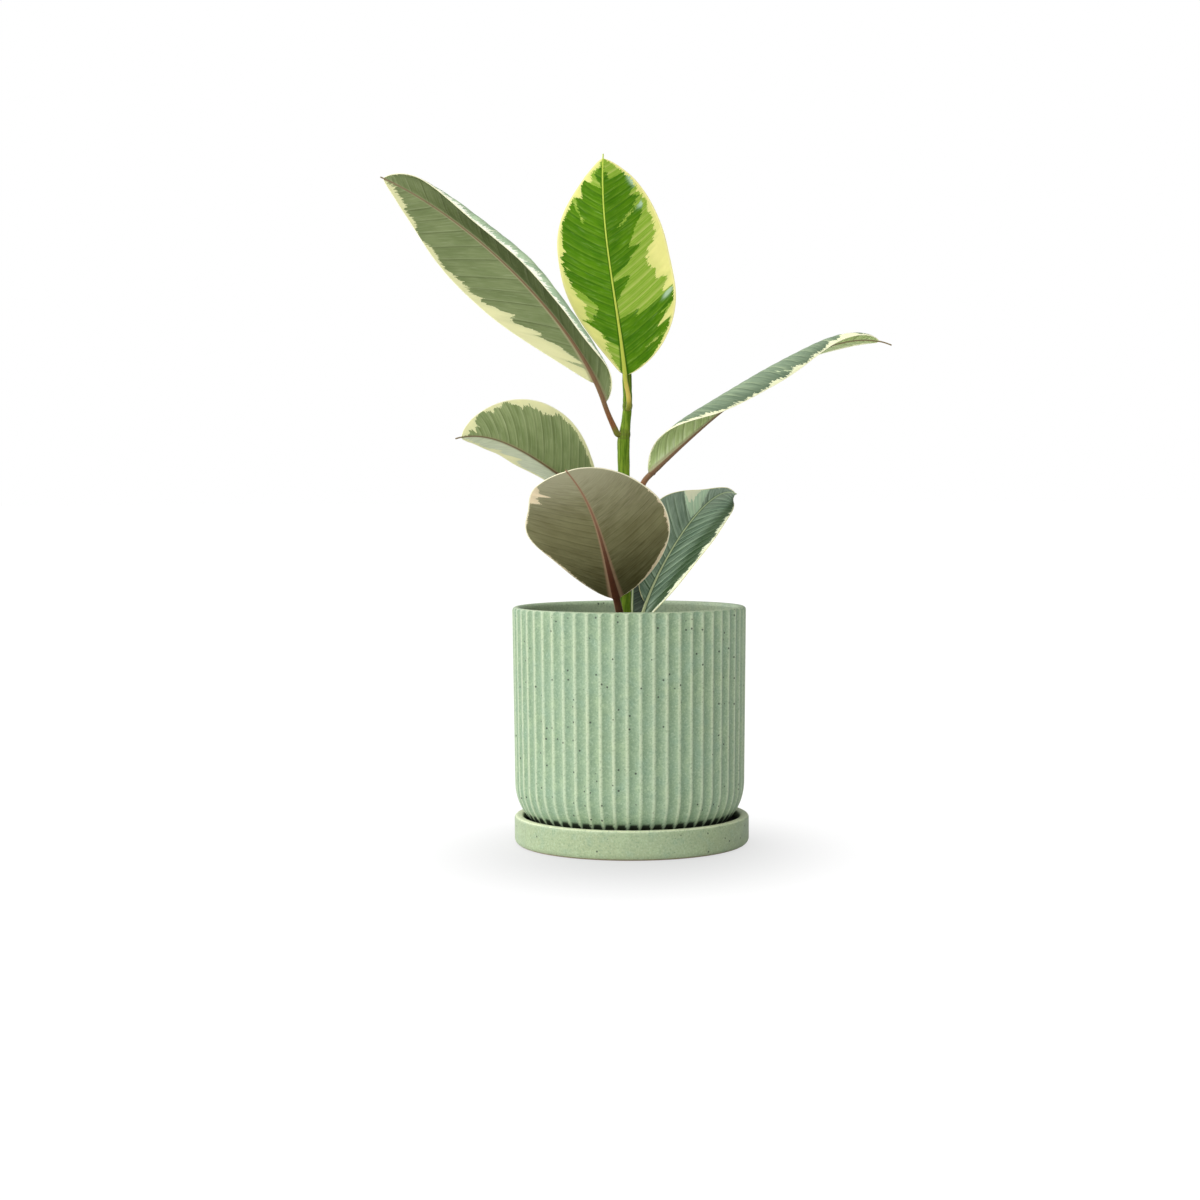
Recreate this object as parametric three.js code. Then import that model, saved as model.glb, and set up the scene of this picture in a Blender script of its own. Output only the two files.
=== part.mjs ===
// Young variegated rubber plant in a fluted glazed pot that stands on its own saucer.
// Millimetres, +Z up. The origin is on the pot's axis, in the plane that the saucer stands on.
// The front of the plant is towards -Y and its right is towards +X.
import * as THREE from 'three';

// Clearance between pieces that touch
const GAP = 0.3;

// Saucer: a plain dish with an upright wall, a rounded lip and a rounded foot. The pot stands a
// little to the left in it.
const SAUCER = {
  offCentre: 1.2,
  outerRadius: 75.3,
  height: 18.6,
  wall: 6,
  floor: 5,
  lipRound: 2,
  footRound: 4,
  insideRound: 4,
  sides: 72,
};

// Pot: a cylinder with a large round at the foot and hollow flutes between narrow ridges
const POT = {
  rimRadius: 75,
  footTaper: 1.7,
  rimHeight: 152.3,
  wall: 5.5,
  floor: 6,
  cornerRound: 34.7,
  rimRound: 2.6,
  flutes: 56,
  stepsPerFlute: 4,
  fluteDepth: 1.5,
  fluteTurn: 31,
  fluteFadeBelowRim: 7,
  fluteAtRimEdge: 0.55,
  footFade: { steepness: 1.6, delay: 0.3 },
  rimBevel: 0.9,
  drainRadius: 6,
};
POT.bottom = SAUCER.floor + GAP;
POT.cornerTop = POT.bottom + POT.cornerRound;
POT.insideFloor = POT.bottom + POT.floor;
POT.insideRadius = POT.rimRadius - POT.wall;

// Soil: fills the pot to a little under its rim, a little higher round the stem
const SOIL = { edgeHeight: 131.5, middleHeight: 134, holeDepth: 64, holeSides: 14 };

// Stem: centre and radius at each height, from its buried end to its tip
const STEM = {
  sides: 14,
  stations: [
    { z: 71, x: -2.3, radius: 3.2 },
    { z: 100, x: -2.3, radius: 3.8 },
    { z: 134, x: -2.3, radius: 3.9 },
    { z: 146, x: -2.4, radius: 3.8 },
    { z: 180, x: -2.4, radius: 3.8 },
    { z: 205, x: -2.7, radius: 3.9 },
    { z: 215, x: -2.9, radius: 4.1 },
    { z: 240, x: -3.0, radius: 3.9 },
    { z: 254, x: -3.2, radius: 4.0 },
    { z: 260, x: -3.0, radius: 4.2 },
    { z: 265, x: -2.1, radius: 3.4 },
    { z: 271, x: -1.3, radius: 3.1 },
    { z: 278, x: -0.5, radius: 3.0 },
    { z: 285, x: -0.4, radius: 3.0 },
    { z: 298, x: -0.7, radius: 3.1 },
    { z: 304, x: -0.8, radius: 2.9 },
  ],
};

// Bud: the rolled sheath that ends the stem, behind the top leaf
const BUD = { length: 27, radius: 2.9, tipRadius: 0.5, lean: 4, sides: 12, steps: 7 };

// Blade and midrib sizes that all leaves share
const BLADE = {
  thickness: 0.8, tipLength: 0.035, tipHalfWidth: 1.3, narrowest: 0.7, midribAtTip: 0.7, midribFall: 4.5,
};

// Rows of a blade stand closer at its two ends by up to this share of its length
const END_CROWDING = 0.07;

// Stalks: rows, how much thicker one is at the stem, and how far its curve's handles reach
const STALK = { rows: 5, flare: 0.25, reach: 0.4 };

// Leaves. midrib: the four points of a cubic curve from the blade's base to its tip.
// seat: the height at which the stalk starts on the stem, the way round the stem in degrees
// from +X, and the angle in degrees at which the stalk rises from it. stalk: its radius.
// left and right: the two halves of the blade, as seen from the front with the tip up.
// Each half has its half-width at even steps from base to tip, the angle in degrees that it is
// folded towards the viewer, the further angle by which it curls before its margin, and how
// late that curl comes. tip: the share of the blade that the narrow drip tip takes. turn: how far
// the whole blade is rolled about its midrib. midribFall: how fast its midrib thins, if it differs
// from the others. frontIsUpper: the face towards the viewer is the upper one, so the midrib stands
// out behind.
const LEAVES = [
  {
    name: 'leaf_top',
    midrib: [[-2, -6, 299], [-6, -13, 345], [-18, -19, 389], [-15, -25, 436]],
    seat: { z: 280, round: -80, rise: 65 }, stalk: 1.4,
    left: { width: [21, 28.5, 32, 34, 20], fold: [-6, -10, -14] },
    right: { width: [57, 46, 39, 42, 50], fold: [-6, -10, -14] },
    tip: 0.02, rows: 13, columns: 4,
  },
  {
    name: 'leaf_upper_left',
    midrib: [[-15, -11, 281], [-33, -28, 334], [-101, -32, 398], [-153, -36, 421]],
    seat: { z: 263.5, round: 205, rise: 64 }, stalk: 1.6,
    left: { width: [24, 30, 32, 31.5, 20], fold: [-20, -20, -20], start: 0.07 },
    right: {
      width: [38, 27, 27, 26, 32],
      fold: [-10, -65, -75, -75, -70, -55, -12],
      curl: [0, 230, 280, 280, 280, 200, 30],
      late: 1.7,
    },
    tip: 0.01, rows: 18, columns: 6,
  },
  {
    name: 'leaf_left',
    midrib: [[-18, -20, 220], [-43, -39, 233], [-75, -64, 268], [-104, -82, 258]],
    seat: { z: 207, round: 225, rise: 15 }, stalk: 1.6,
    left: { width: [26, 30, 28, 21, 12], fold: [-70, -70, -60] },
    right: { width: [27, 30, 33, 33.5, 22], fold: [-5, -5, -5] },
    rows: 13, columns: 4,
  },
  {
    name: 'leaf_front',
    midrib: [[-8, -12, 158], [-17, -42, 195], [-20, -68, 218], [-37, -104, 238.5]],
    seat: { z: 142, round: 255, rise: 15 }, stalk: 2.4,
    left: { width: [28, 36, 44.5, 43.5, 54], fold: [-10, -10, -5], blunt: 0.55 },
    right: { width: [54, 49, 43, 37.5, 34], fold: [-10, -10, -10], blunt: 0.55 },
    tip: 0.01, turn: [0, -5, -28], midribFall: 3,
    rows: 13, columns: 4,
  },
  {
    name: 'leaf_lower_right',
    midrib: [[7.5, 4, 141], [11, 9, 165], [51, 46, 235], [73, 84, 223.5]],
    seat: { z: 137.6, round: 30, rise: 15 }, stalk: 1.3,
    left: { width: [30, 27, 29.5, 11, 1], fold: [30, 30, 30], start: 0.1, blunt: 0.6 },
    right: { width: [32.5, 31, 28, 23, 16], fold: [50, 50, 50] },
    tip: 0, turn: [0, 0, 20], frontIsUpper: true,
    rows: 13, columns: 4,
  },
  {
    name: 'leaf_right',
    midrib: [[13, -1, 235.5], [47, -1, 267], [121, -13, 337], [167, -6, 317.5]],
    seat: { z: 218, round: -10, rise: 52 }, stalk: 1.9,
    left: {
      width: [36, 33, 29.5, 27, 25],
      fold: [-5, -10, 15, 35, 40, 18, -10],
      curl: [0, 120, 165, 160, 152, 140, 120],
      late: 1.2,
    },
    right: { width: [22, 28, 28, 24, 20], fold: [-125, -112, -95, -85, -88, -77, -75] },
    tip: 0.05, rows: 18, columns: 6,
  },
  {
    name: 'leaf_low_back',
    midrib: [[1.5, 7, 142], [2, 14, 158], [3, 26, 172], [4, 38, 182]],
    seat: { z: 139, round: 70, rise: 20 }, stalk: 1.2,
    left: { width: [14, 14, 14, 13, 12], fold: [5, 5, 5] },
    right: { width: [14, 14, 14, 13, 12], fold: [0, 0, 0] },
    frontIsUpper: true, rows: 8, columns: 3,
  },
];

const FINISH = {
  pot: { color: 0xb3c8a6, roughness: 0.5 },
  saucer: { color: 0xa6bb95, roughness: 0.5 },
  soil: { color: 0x3a2c22, roughness: 0.95 },
  stem: { color: 0x5f8420, roughness: 0.5 },
  bud: { color: 0xb4604a, roughness: 0.45 },
  leaf_top: { color: 0x4f9a1e, roughness: 0.35 },
  leaf_upper_left: { color: 0x77896a, roughness: 0.45 },
  leaf_left: { color: 0x7f9069, roughness: 0.45 },
  leaf_front: { color: 0x76704f, roughness: 0.5 },
  leaf_lower_right: { color: 0x55786a, roughness: 0.4 },
  leaf_right: { color: 0x86a07c, roughness: 0.45 },
  leaf_low_back: { color: 0x45605a, roughness: 0.45 },
};

const radians = THREE.MathUtils.degToRad;
const clamp = THREE.MathUtils.clamp;
const lerp = THREE.MathUtils.lerp;

// A smooth curve through values that stand at even steps from 0 to 1
function alongSteps(values, t) {
  const last = values.length - 1;
  const at = clamp(t, 0, 1) * last;
  const i = Math.min(Math.floor(at), last - 1);
  const before = i > 0 ? values[i - 1] : 2 * values[0] - values[1];
  const after = i + 2 <= last ? values[i + 2] : 2 * values[last] - values[last - 1];
  const slopeStart = (values[i + 1] - before) / 2;
  const slopeEnd = (after - values[i]) / 2;
  const f = at - i;
  const rise = values[i + 1] - values[i];
  return values[i] + slopeStart * f
    + (3 * rise - 2 * slopeStart - slopeEnd) * f * f
    + (slopeStart + slopeEnd - 2 * rise) * f * f * f;
}

// One closed solid from points and triangles, turned inside out if its volume is negative
function solid(name, points, triangles) {
  let volume = 0;
  const cross = new THREE.Vector3();
  for (const [a, b, c] of triangles) {
    volume += points[a].dot(cross.crossVectors(points[b], points[c]));
  }
  const index = triangles.flatMap(([a, b, c]) => (volume > 0 ? [a, b, c] : [a, c, b]));
  const geometry = new THREE.BufferGeometry();
  geometry.setAttribute('position', new THREE.Float32BufferAttribute(points.flatMap((p) => p.toArray()), 3));
  geometry.setIndex(index);
  geometry.computeVertexNormals();
  const mesh = new THREE.Mesh(geometry, new THREE.MeshStandardMaterial({ ...FINISH[name], metalness: 0 }));
  mesh.name = name;
  return mesh;
}

// A level ring of points about (x, y), with a radius that may change round it
function ring(count, z, radius, x = 0, y = 0, turn = 0) {
  const radiusAt = typeof radius === 'function' ? radius : () => radius;
  return Array.from({ length: count }, (unused, i) => {
    const angle = turn + (i / count) * 2 * Math.PI;
    const r = radiusAt(angle, i);
    return new THREE.Vector3(x + r * Math.cos(angle), y + r * Math.sin(angle), z);
  });
}

// Rings joined into one skin. One of two neighbours may have a whole number of times more points
// than the other. The ends are closed with a fan, or the last ring is joined to the first.
function skinOfRings(name, rings, loop = false) {
  const points = [];
  const starts = rings.map((points3) => {
    const start = points.length;
    points.push(...points3);
    return start;
  });
  const triangles = [];
  const join = (a, b) => {
    const many = Math.max(rings[a].length, rings[b].length);
    const few = Math.min(rings[a].length, rings[b].length);
    const share = many / few;
    const [fine, coarse] = rings[a].length >= rings[b].length ? [a, b] : [b, a];
    for (let i = 0; i < many; i += 1) {
      const step = Math.round((i + 0.5) / share - 0.5 + 1e-6);
      const near = starts[coarse] + (step % few);
      const here = starts[fine] + i;
      const next = starts[fine] + ((i + 1) % many);
      triangles.push(fine === a ? [here, next, near] : [next, here, near]);
      const nextStep = Math.round((i + 1.5) / share - 0.5 + 1e-6);
      if (nextStep !== step) {
        const beyond = starts[coarse] + (nextStep % few);
        triangles.push(fine === a ? [next, beyond, near] : [beyond, next, near]);
      }
    }
  };
  for (let i = 0; i + 1 < rings.length; i += 1) {
    join(i, i + 1);
  }
  if (loop) {
    join(rings.length - 1, 0);
  } else {
    for (const [which, flip] of [[0, true], [rings.length - 1, false]]) {
      const members = rings[which];
      const middle = members.reduce((sum, p) => sum.add(p), new THREE.Vector3()).divideScalar(members.length);
      const hub = points.push(middle) - 1;
      members.forEach((unused, i) => {
        const here = starts[which] + i;
        const next = starts[which] + ((i + 1) % members.length);
        triangles.push(flip ? [next, here, hub] : [here, next, hub]);
      });
    }
  }
  return solid(name, points, triangles);
}

// Points on a quarter circle in the plane of radius and height: [radius, height, share of the turn]
function quarter(centreRadius, centreHeight, size, fromDegrees, toDegrees, steps) {
  return Array.from({ length: steps + 1 }, (unused, i) => {
    const share = i / steps;
    const angle = radians(lerp(fromDegrees, toDegrees, share));
    return [centreRadius + size * Math.cos(angle), centreHeight + size * Math.sin(angle), share];
  });
}

function makeSaucer() {
  const { outerRadius, height, wall, floor, lipRound, footRound, insideRound, sides } = SAUCER;
  const insideRadius = outerRadius - wall;
  const profile = [
    ...quarter(outerRadius - footRound, footRound, footRound, -90, 0, 3),
    ...quarter(outerRadius - lipRound, height - lipRound, lipRound, 0, 90, 2),
    ...quarter(insideRadius + lipRound, height - lipRound, lipRound, 90, 180, 2),
    ...quarter(insideRadius - insideRound, floor + insideRound, insideRound, 0, -90, 2),
  ];
  return skinOfRings('saucer', profile.map(([r, z]) => ring(sides, z, r, SAUCER.offCentre)));
}

// Depth of the pot's flutes: nothing on a ridge, most midway between two ridges
function fluteAt(angle) {
  const phase = ((angle - radians(POT.fluteTurn)) * POT.flutes) / (2 * Math.PI);
  const across = phase - Math.floor(phase);
  return POT.fluteDepth * (1 - (2 * across - 1) ** 2);
}

function makePot() {
  const few = POT.flutes;
  const many = POT.flutes * POT.stepsPerFlute;
  const turn = radians(POT.fluteTurn);
  const outerAt = (z) => POT.rimRadius - POT.footTaper * (1 - z / POT.rimHeight);
  const cornerRadius = outerAt(POT.cornerTop);
  const fluted = ([r, z, depth]) => ring(many, z, (angle) => r - depth * fluteAt(angle), 0, 0, turn);
  const plain = ([r, z]) => ring(few, z, r, 0, 0, turn);
  const corner = quarter(cornerRadius - POT.cornerRound, POT.cornerTop, POT.cornerRound, -90, 0, 5);
  const fadeAt = (share) => clamp(share * POT.footFade.steepness - POT.footFade.delay, 0, 1);
  const fadeStart = POT.rimHeight - POT.fluteFadeBelowRim;
  const insideCorner = POT.cornerRound - POT.wall;
  const rimMiddle = POT.rimRadius - POT.wall / 2;
  const rings = [
    plain([POT.drainRadius, POT.bottom]),
    plain(corner[0]),
    ...corner.slice(1).map(([r, z, share]) => fluted([r, z, fadeAt(share)])),
    fluted([outerAt(fadeStart), fadeStart, 1]),
    fluted([POT.rimRadius, POT.rimHeight - POT.rimRound - 1, POT.fluteAtRimEdge]),
    fluted([POT.rimRadius - POT.rimBevel, POT.rimHeight - POT.rimBevel, 0]),
    plain([rimMiddle, POT.rimHeight]),
    plain([POT.insideRadius + POT.rimBevel, POT.rimHeight - POT.rimBevel]),
    plain([POT.insideRadius, POT.rimHeight - POT.rimRound - 1]),
    ...quarter(POT.insideRadius - insideCorner, POT.insideFloor + insideCorner, insideCorner, 0, -90, 3)
      .map(plain),
    plain([POT.drainRadius, POT.insideFloor]),
  ];
  return skinOfRings('pot', rings, true);
}

// Centre and radius of the stem at a height, straight between the stations
function stemAt(z) {
  const { stations } = STEM;
  const above = clamp(stations.findIndex((station) => station.z >= z), 1, stations.length - 1);
  const [low, high] = [stations[above - 1], stations[above]];
  const f = (z - low.z) / (high.z - low.z);
  return { x: lerp(low.x, high.x, f), radius: lerp(low.radius, high.radius, f) };
}

function makeStem() {
  return skinOfRings('stem', STEM.stations.map(({ z, x, radius }) => ring(STEM.sides, z, radius, x)));
}

function makeBud() {
  const top = STEM.stations.at(-1);
  const rings = Array.from({ length: BUD.steps + 1 }, (unused, i) => {
    const share = i / BUD.steps;
    const radius = lerp(BUD.tipRadius, BUD.radius, Math.sqrt(1 - share) * (0.9 + 0.4 * share));
    return ring(BUD.sides, top.z + GAP + BUD.length * share, radius, top.x, BUD.lean * share ** 2);
  });
  return skinOfRings('bud', rings);
}

function makeSoil() {
  const few = POT.flutes;
  const turn = radians(POT.fluteTurn);
  const inside = POT.cornerRound - POT.wall;
  const radius = POT.insideRadius - GAP;
  const wallFoot = POT.insideFloor + inside;
  const { x, radius: stemRadius } = stemAt(SOIL.middleHeight);
  const hole = stemRadius + GAP;
  const corner = quarter(radius - inside + GAP, wallFoot, inside - GAP, -90, 0, 3);
  const rings = [
    ...corner.map(([r, z]) => ring(few, z, r, 0, 0, turn)),
    ring(few, SOIL.edgeHeight, radius, 0, 0, turn),
    ring(few, (SOIL.edgeHeight + SOIL.middleHeight) / 2 + 0.5, radius * 0.6, 0, 0, turn),
    ring(SOIL.holeSides, SOIL.middleHeight, hole, x, 0, turn),
    ring(SOIL.holeSides, SOIL.middleHeight - SOIL.holeDepth, hole, x, 0, turn),
  ];
  return skinOfRings('soil', rings);
}

// Half-width of one side of a blade: a rounded outline that ends in a narrow drip tip
function halfWidth(leaf, half, t) {
  const start = half.start ?? 0;
  const end = 1 - (leaf.tip ?? BLADE.tipLength);
  const along = clamp((t - start) / (end - start), 0, 1);
  const outline = Math.sin(Math.PI * along) ** (half.blunt ?? 0.7);
  const nearTip = clamp((1 - t) / 0.1, 0, 1) ** 0.8 * clamp((t - 0.7) / 0.2, 0, 1);
  return alongSteps(half.width, t) * outline + BLADE.tipHalfWidth * nearTip;
}

// The way across a half at a share q of its width, as an angle from flat
function angleAcross(half, t, q) {
  const fold = alongSteps(half.fold, t);
  const curl = half.curl ? alongSteps(half.curl, t) : 0;
  return radians(fold + curl * q ** (half.late ?? 1));
}

// The stations of a leaf from the stem to its tip: place, direction, share of the blade and rib radius
function leafStations(leaf) {
  const midrib = new THREE.CubicBezierCurve3(...leaf.midrib.map((p) => new THREE.Vector3(...p)));
  const base = midrib.getPoint(0);
  const { z, round, rise } = leaf.seat;
  const out = new THREE.Vector3(Math.cos(radians(rise)), 0, Math.sin(radians(rise)))
    .applyAxisAngle(new THREE.Vector3(0, 0, 1), radians(round));
  const { x, radius } = stemAt(z);
  const endRadius = leaf.stalk * (1 + STALK.flare);
  const clear = radius + GAP + endRadius * Math.sin(radians(rise)) + 0.1;
  const seat = new THREE.Vector3(x + clear * Math.cos(radians(round)), clear * Math.sin(radians(round)), z);
  const reach = seat.distanceTo(base) * STALK.reach;
  const bladeWay = midrib.getTangent(0);
  const stalk = new THREE.CubicBezierCurve3(
    seat,
    seat.clone().addScaledVector(out, reach),
    base.clone().addScaledVector(bladeWay, -reach),
    base,
  );
  const stations = [];
  for (let i = 0; i < STALK.rows; i += 1) {
    const u = i / STALK.rows;
    const flare = 1 + STALK.flare * (1 - u) ** 2;
    stations.push({ at: stalk.getPointAt(u), way: stalk.getTangentAt(u), t: 0, rib: leaf.stalk * flare });
  }
  for (let i = 0; i <= leaf.rows; i += 1) {
    const even = i / leaf.rows;
    const t = even - END_CROWDING * Math.sin(2 * Math.PI * even);
    const rib = lerp(BLADE.midribAtTip, leaf.stalk, (1 - t) ** (leaf.midribFall ?? BLADE.midribFall));
    stations.push({ at: midrib.getPointAt(t), way: midrib.getTangentAt(t), t, rib });
  }
  return stations;
}

// Directions across (side) and out of (face) the blade, square to the midrib. The face looks
// to the front, rolled by the leaf's turn, and keeps its way down the stalk.
function leafFrames(leaf, stations) {
  const front = new THREE.Vector3(0, -1, 0);
  const squareTo = (vector, way) => vector.clone().addScaledVector(way, -vector.dot(way)).normalize();
  const firstOfBlade = stations.length - 1 - leaf.rows;
  const frames = [];
  for (let i = stations.length - 1; i >= 0; i -= 1) {
    const { way, t } = stations[i];
    const turn = radians(alongSteps(leaf.turn ?? [0, 0], t));
    const face = i >= firstOfBlade
      ? squareTo(front, way).applyAxisAngle(way, turn)
      : squareTo(frames[i + 1].face, way);
    frames[i] = { face, side: new THREE.Vector3().crossVectors(way, face) };
  }
  return frames;
}

// One half of one station: points on its two faces, from the midrib out to the margin
function acrossHalf(leaf, half, sign, station, frame) {
  const { columns } = leaf;
  const { t, rib, at } = station;
  const width = Math.max(halfWidth(leaf, half, t), BLADE.narrowest);
  const span = Math.max(width, rib);
  const open = t > 0 ? clamp((width / rib - 1) / 1.5, 0, 1) : 0;
  const steps = 8;
  let along = 0;
  let out = 0;
  let reached = 0;
  const faces = [];
  for (let column = 1; column <= columns; column += 1) {
    const share = column / columns;
    const onBlade = column === 1 ? Math.min(1.2 * rib, 0.35 * span) / span : share ** 0.9;
    const round = radians(80 * share);
    const target = lerp((rib / span) * Math.sin(round), onBlade, open);
    for (let k = 0; k < steps; k += 1) {
      const q = lerp(reached, target, (k + 0.5) / steps);
      const angle = open * angleAcross(half, t, q);
      along += ((target - reached) / steps) * Math.cos(angle) * span;
      out += ((target - reached) / steps) * Math.sin(angle) * span;
    }
    reached = target;
    const angle = open * angleAcross(half, t, target);
    const point = at.clone().addScaledVector(frame.side, sign * along).addScaledVector(frame.face, out);
    const normal = frame.side.clone().multiplyScalar(-sign * Math.sin(angle))
      .addScaledVector(frame.face, Math.cos(angle));
    const depth = lerp(rib * Math.cos(round), BLADE.thickness / 2, open);
    faces.push([
      point.clone().addScaledVector(normal, depth),
      point.clone().addScaledVector(normal, -depth),
    ]);
  }
  return { faces, open, startAngle: open * angleAcross(half, t, 0) };
}

function makeLeaf(leaf) {
  const stations = leafStations(leaf);
  const frames = leafFrames(leaf, stations);
  const rows = stations.map((station, i) => {
    const frame = frames[i];
    const left = acrossHalf(leaf, leaf.left, -1, station, frame);
    const right = acrossHalf(leaf, leaf.right, 1, station, frame);
    const tilt = (left.startAngle - right.startAngle) / 2;
    const gape = Math.cos((left.startAngle + right.startAngle) / 2);
    const middle = frame.side.clone().multiplyScalar(Math.sin(tilt))
      .addScaledVector(frame.face, Math.cos(tilt));
    const open = Math.max(left.open, right.open);
    const thin = BLADE.thickness / 2 / Math.max(gape, 0.35);
    const front = leaf.frontIsUpper ? thin : station.rib;
    const back = leaf.frontIsUpper ? station.rib : thin;
    const faces = [
      station.at.clone().addScaledVector(middle, lerp(station.rib, front, open)),
      station.at.clone().addScaledVector(middle, -lerp(station.rib, back, open)),
    ];
    return [...left.faces.toReversed(), faces, ...right.faces];
  });
  const across = rows[0].length;
  const points = rows.flat(2);
  const at = (row, column, face) => (row * across + column) * 2 + face;
  const triangles = [];
  const patch = (a, b, c, d) => triangles.push([a, b, c], [a, c, d]);
  for (let i = 0; i + 1 < rows.length; i += 1) {
    for (let j = 0; j + 1 < across; j += 1) {
      patch(at(i, j, 0), at(i, j + 1, 0), at(i + 1, j + 1, 0), at(i + 1, j, 0));
      triangles.push([at(i, j, 1), at(i + 1, j + 1, 1), at(i, j + 1, 1)]);
      triangles.push([at(i, j, 1), at(i + 1, j, 1), at(i + 1, j + 1, 1)]);
    }
    patch(at(i, 0, 1), at(i, 0, 0), at(i + 1, 0, 0), at(i + 1, 0, 1));
    patch(at(i, across - 1, 0), at(i, across - 1, 1), at(i + 1, across - 1, 1), at(i + 1, across - 1, 0));
  }
  const last = rows.length - 1;
  for (let j = 0; j + 1 < across; j += 1) {
    patch(at(0, j, 0), at(0, j, 1), at(0, j + 1, 1), at(0, j + 1, 0));
    patch(at(last, j, 1), at(last, j, 0), at(last, j + 1, 0), at(last, j + 1, 1));
  }
  return solid(leaf.name, points, triangles);
}

const group = new THREE.Group();
group.add(makeSaucer(), makePot(), makeSoil(), makeStem(), makeBud(), ...LEAVES.map(makeLeaf));

export default group;
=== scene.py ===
"""A young variegated rubber plant in a fluted glazed pot on its saucer.

Sizes are in millimetres and are made metres when a mesh is written. +Z is up, the origin is on the
pot's axis in the plane that the saucer stands on, and the front of the plant is towards -Y.
"""
import math
from types import SimpleNamespace

import bpy
import numpy as np
from mathutils import Matrix, Vector


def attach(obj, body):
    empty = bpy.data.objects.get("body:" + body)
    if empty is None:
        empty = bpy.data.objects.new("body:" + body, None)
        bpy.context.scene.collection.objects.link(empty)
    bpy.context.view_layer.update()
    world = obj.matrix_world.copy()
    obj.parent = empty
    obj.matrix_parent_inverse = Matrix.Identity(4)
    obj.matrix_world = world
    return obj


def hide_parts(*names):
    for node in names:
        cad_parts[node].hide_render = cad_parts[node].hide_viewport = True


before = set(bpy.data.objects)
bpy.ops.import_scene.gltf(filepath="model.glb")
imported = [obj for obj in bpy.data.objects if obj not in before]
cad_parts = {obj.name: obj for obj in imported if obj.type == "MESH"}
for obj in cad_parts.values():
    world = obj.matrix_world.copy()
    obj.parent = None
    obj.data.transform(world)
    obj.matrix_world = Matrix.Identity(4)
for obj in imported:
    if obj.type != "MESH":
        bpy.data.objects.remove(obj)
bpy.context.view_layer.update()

MM = 0.001

# The view: distance and height of the lens, the way it looks in degrees, and its focal length
# for a square picture on a 36 mm sensor
CAMERA = SimpleNamespace(distance=1400, height=228, down=2.934, left=0.76, roll=-0.26, lens=65.58)

# The light: where it is brightest, the cosine of the angle from there at which it is dimmest, and
# its strength at both
LIGHT = SimpleNamespace(toward=(-0.9, -0.4, 0.2), dim_at=-0.4, dimmest=0.25, brightest=2.4)

# The soft shade on the floor: where its middle is, how much longer than wide, how far it reaches
# and what the camera sees in it and beyond it
FLOOR = SimpleNamespace(
    half_width=30.0, centre=-31, stretch=1.3, shade_from=15, shade_to=165, shaded=0.6, open=0.9,
)

# No colour reflects more than this share of the light
BRIGHTEST_COLOUR = 0.92

# pale: how pale the glaze is. The last number: the strength of the shade painted dark in the gap between the
# pot and the saucer
SAUCER = SimpleNamespace(
    off_centre=1.2, outer_radius=75.3, height=18.6, wall=6, floor=5, lip_round=2, foot_round=4,
    inside_round=4, around=288, pale=0.2, pale_lip=0.9, painted_shade=0.96,
)

# The flutes end under the rim in arches with a rounded edge. pale_share: how wide the pale ridge
# is. The next number: how pale the painted light grows over one side of each flute towards the next
# ridge. The shade painted at the foot dips at each ridge.
POT = SimpleNamespace(
    rim_radius=75, foot_taper=1.7, rim_height=152.3, wall=5.5, floor=6, corner_round=34.7,
    rim_round=2.6, flutes=56, columns_per_flute=12, flute_depth=1.5, flute_turn=31,
    ridge_round=0.35, arch_round=0.25, drain_radius=6, bottom=5.3,
    pale_share=0.24, painted_light_share=0.4, pale_rim=0.7, pale_inside=0.6,
    painted_shade=0.97, painted_shade_height=21.8, painted_shade_dip=5, painted_shade_fade=1.4,
)

# lumps: strength, size and seed of each noise on the surface
SOIL = SimpleNamespace(
    edge_height=131.5, middle_height=134, radius=69.2, hole_radius=4.2, hole_depth=64, around=360,
    relief=1.3, lumps=((0.5, 9.0, 3), (0.35, 3.4, 4), (0.25, 1.6, 5)),
)

# Stem: height, centre and radius from its buried end to its tip
STEM = np.array([
    (71, -2.3, 3.2), (100, -2.3, 3.8), (134, -2.3, 3.9), (146, -2.4, 3.8), (180, -2.4, 3.8),
    (205, -2.7, 3.9), (215, -2.9, 4.1), (240, -3.0, 3.9), (254, -3.2, 4.0), (260, -3.0, 4.2),
    (265, -2.1, 3.4), (271, -1.3, 3.1), (278, -0.5, 3.0), (285, -0.4, 3.0), (298, -0.7, 3.1),
    (304, -0.8, 2.9),
])

# The space between the stem's skin and each stalk or bud
STEM_GAP = 0.3

# Each node is a swelling with a fine groove on both sides
NODES = SimpleNamespace(
    heights=(139, 207, 218, 262, 280), swell=0.25, reach=1.6, groove=0.12, groove_at=2.4,
    groove_reach=0.5,
)

# green_ends: the heights in metres between which the green foot turns red-brown
BUD = SimpleNamespace(length=27, radius=2.9, tip_radius=0.5, lean=4, green_ends=(0.306, 0.325))

# What all blades share: thickness in the middle and at the margin, the drip tip, the rib, how far
# from it the fold sets in, and the columns in the strips beside the rib and at the margin
BLADE = SimpleNamespace(
    thickness=0.8, margin_thickness=0.5, tip_half_width=1.3, narrowest=0.3, rib_at_tip=0.45,
    rib_spread=1.9, fold_reach=2.2, rib_strip=2.2, rib_columns=7, edge_strip=0.45, edge_columns=4,
)

# Inside its seat a stalk bends level and runs on into the stem, in steps of a size in mm
HEEL = SimpleNamespace(steps=9, bent=6, step=0.45)

# How much wider a stalk is at its seat, and the green that it takes from the stem there
STALK_FLARE = 0.25
SEAT_GREEN = (96, 120, 30)

# The noises that make the green's edge jagged: their sizes over and along the side veins, their
# seed and how far they move it, in mm
TEETH = ((2.6, 12.0, 1.0, 3.0), (1.0, 4.0, 4.0, 4.4), (0.7, 1.0, 6.0, 2.6))

# How much painted light a soft spot of painted sheen adds
PAINTED_SHEEN = 1.2

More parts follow.
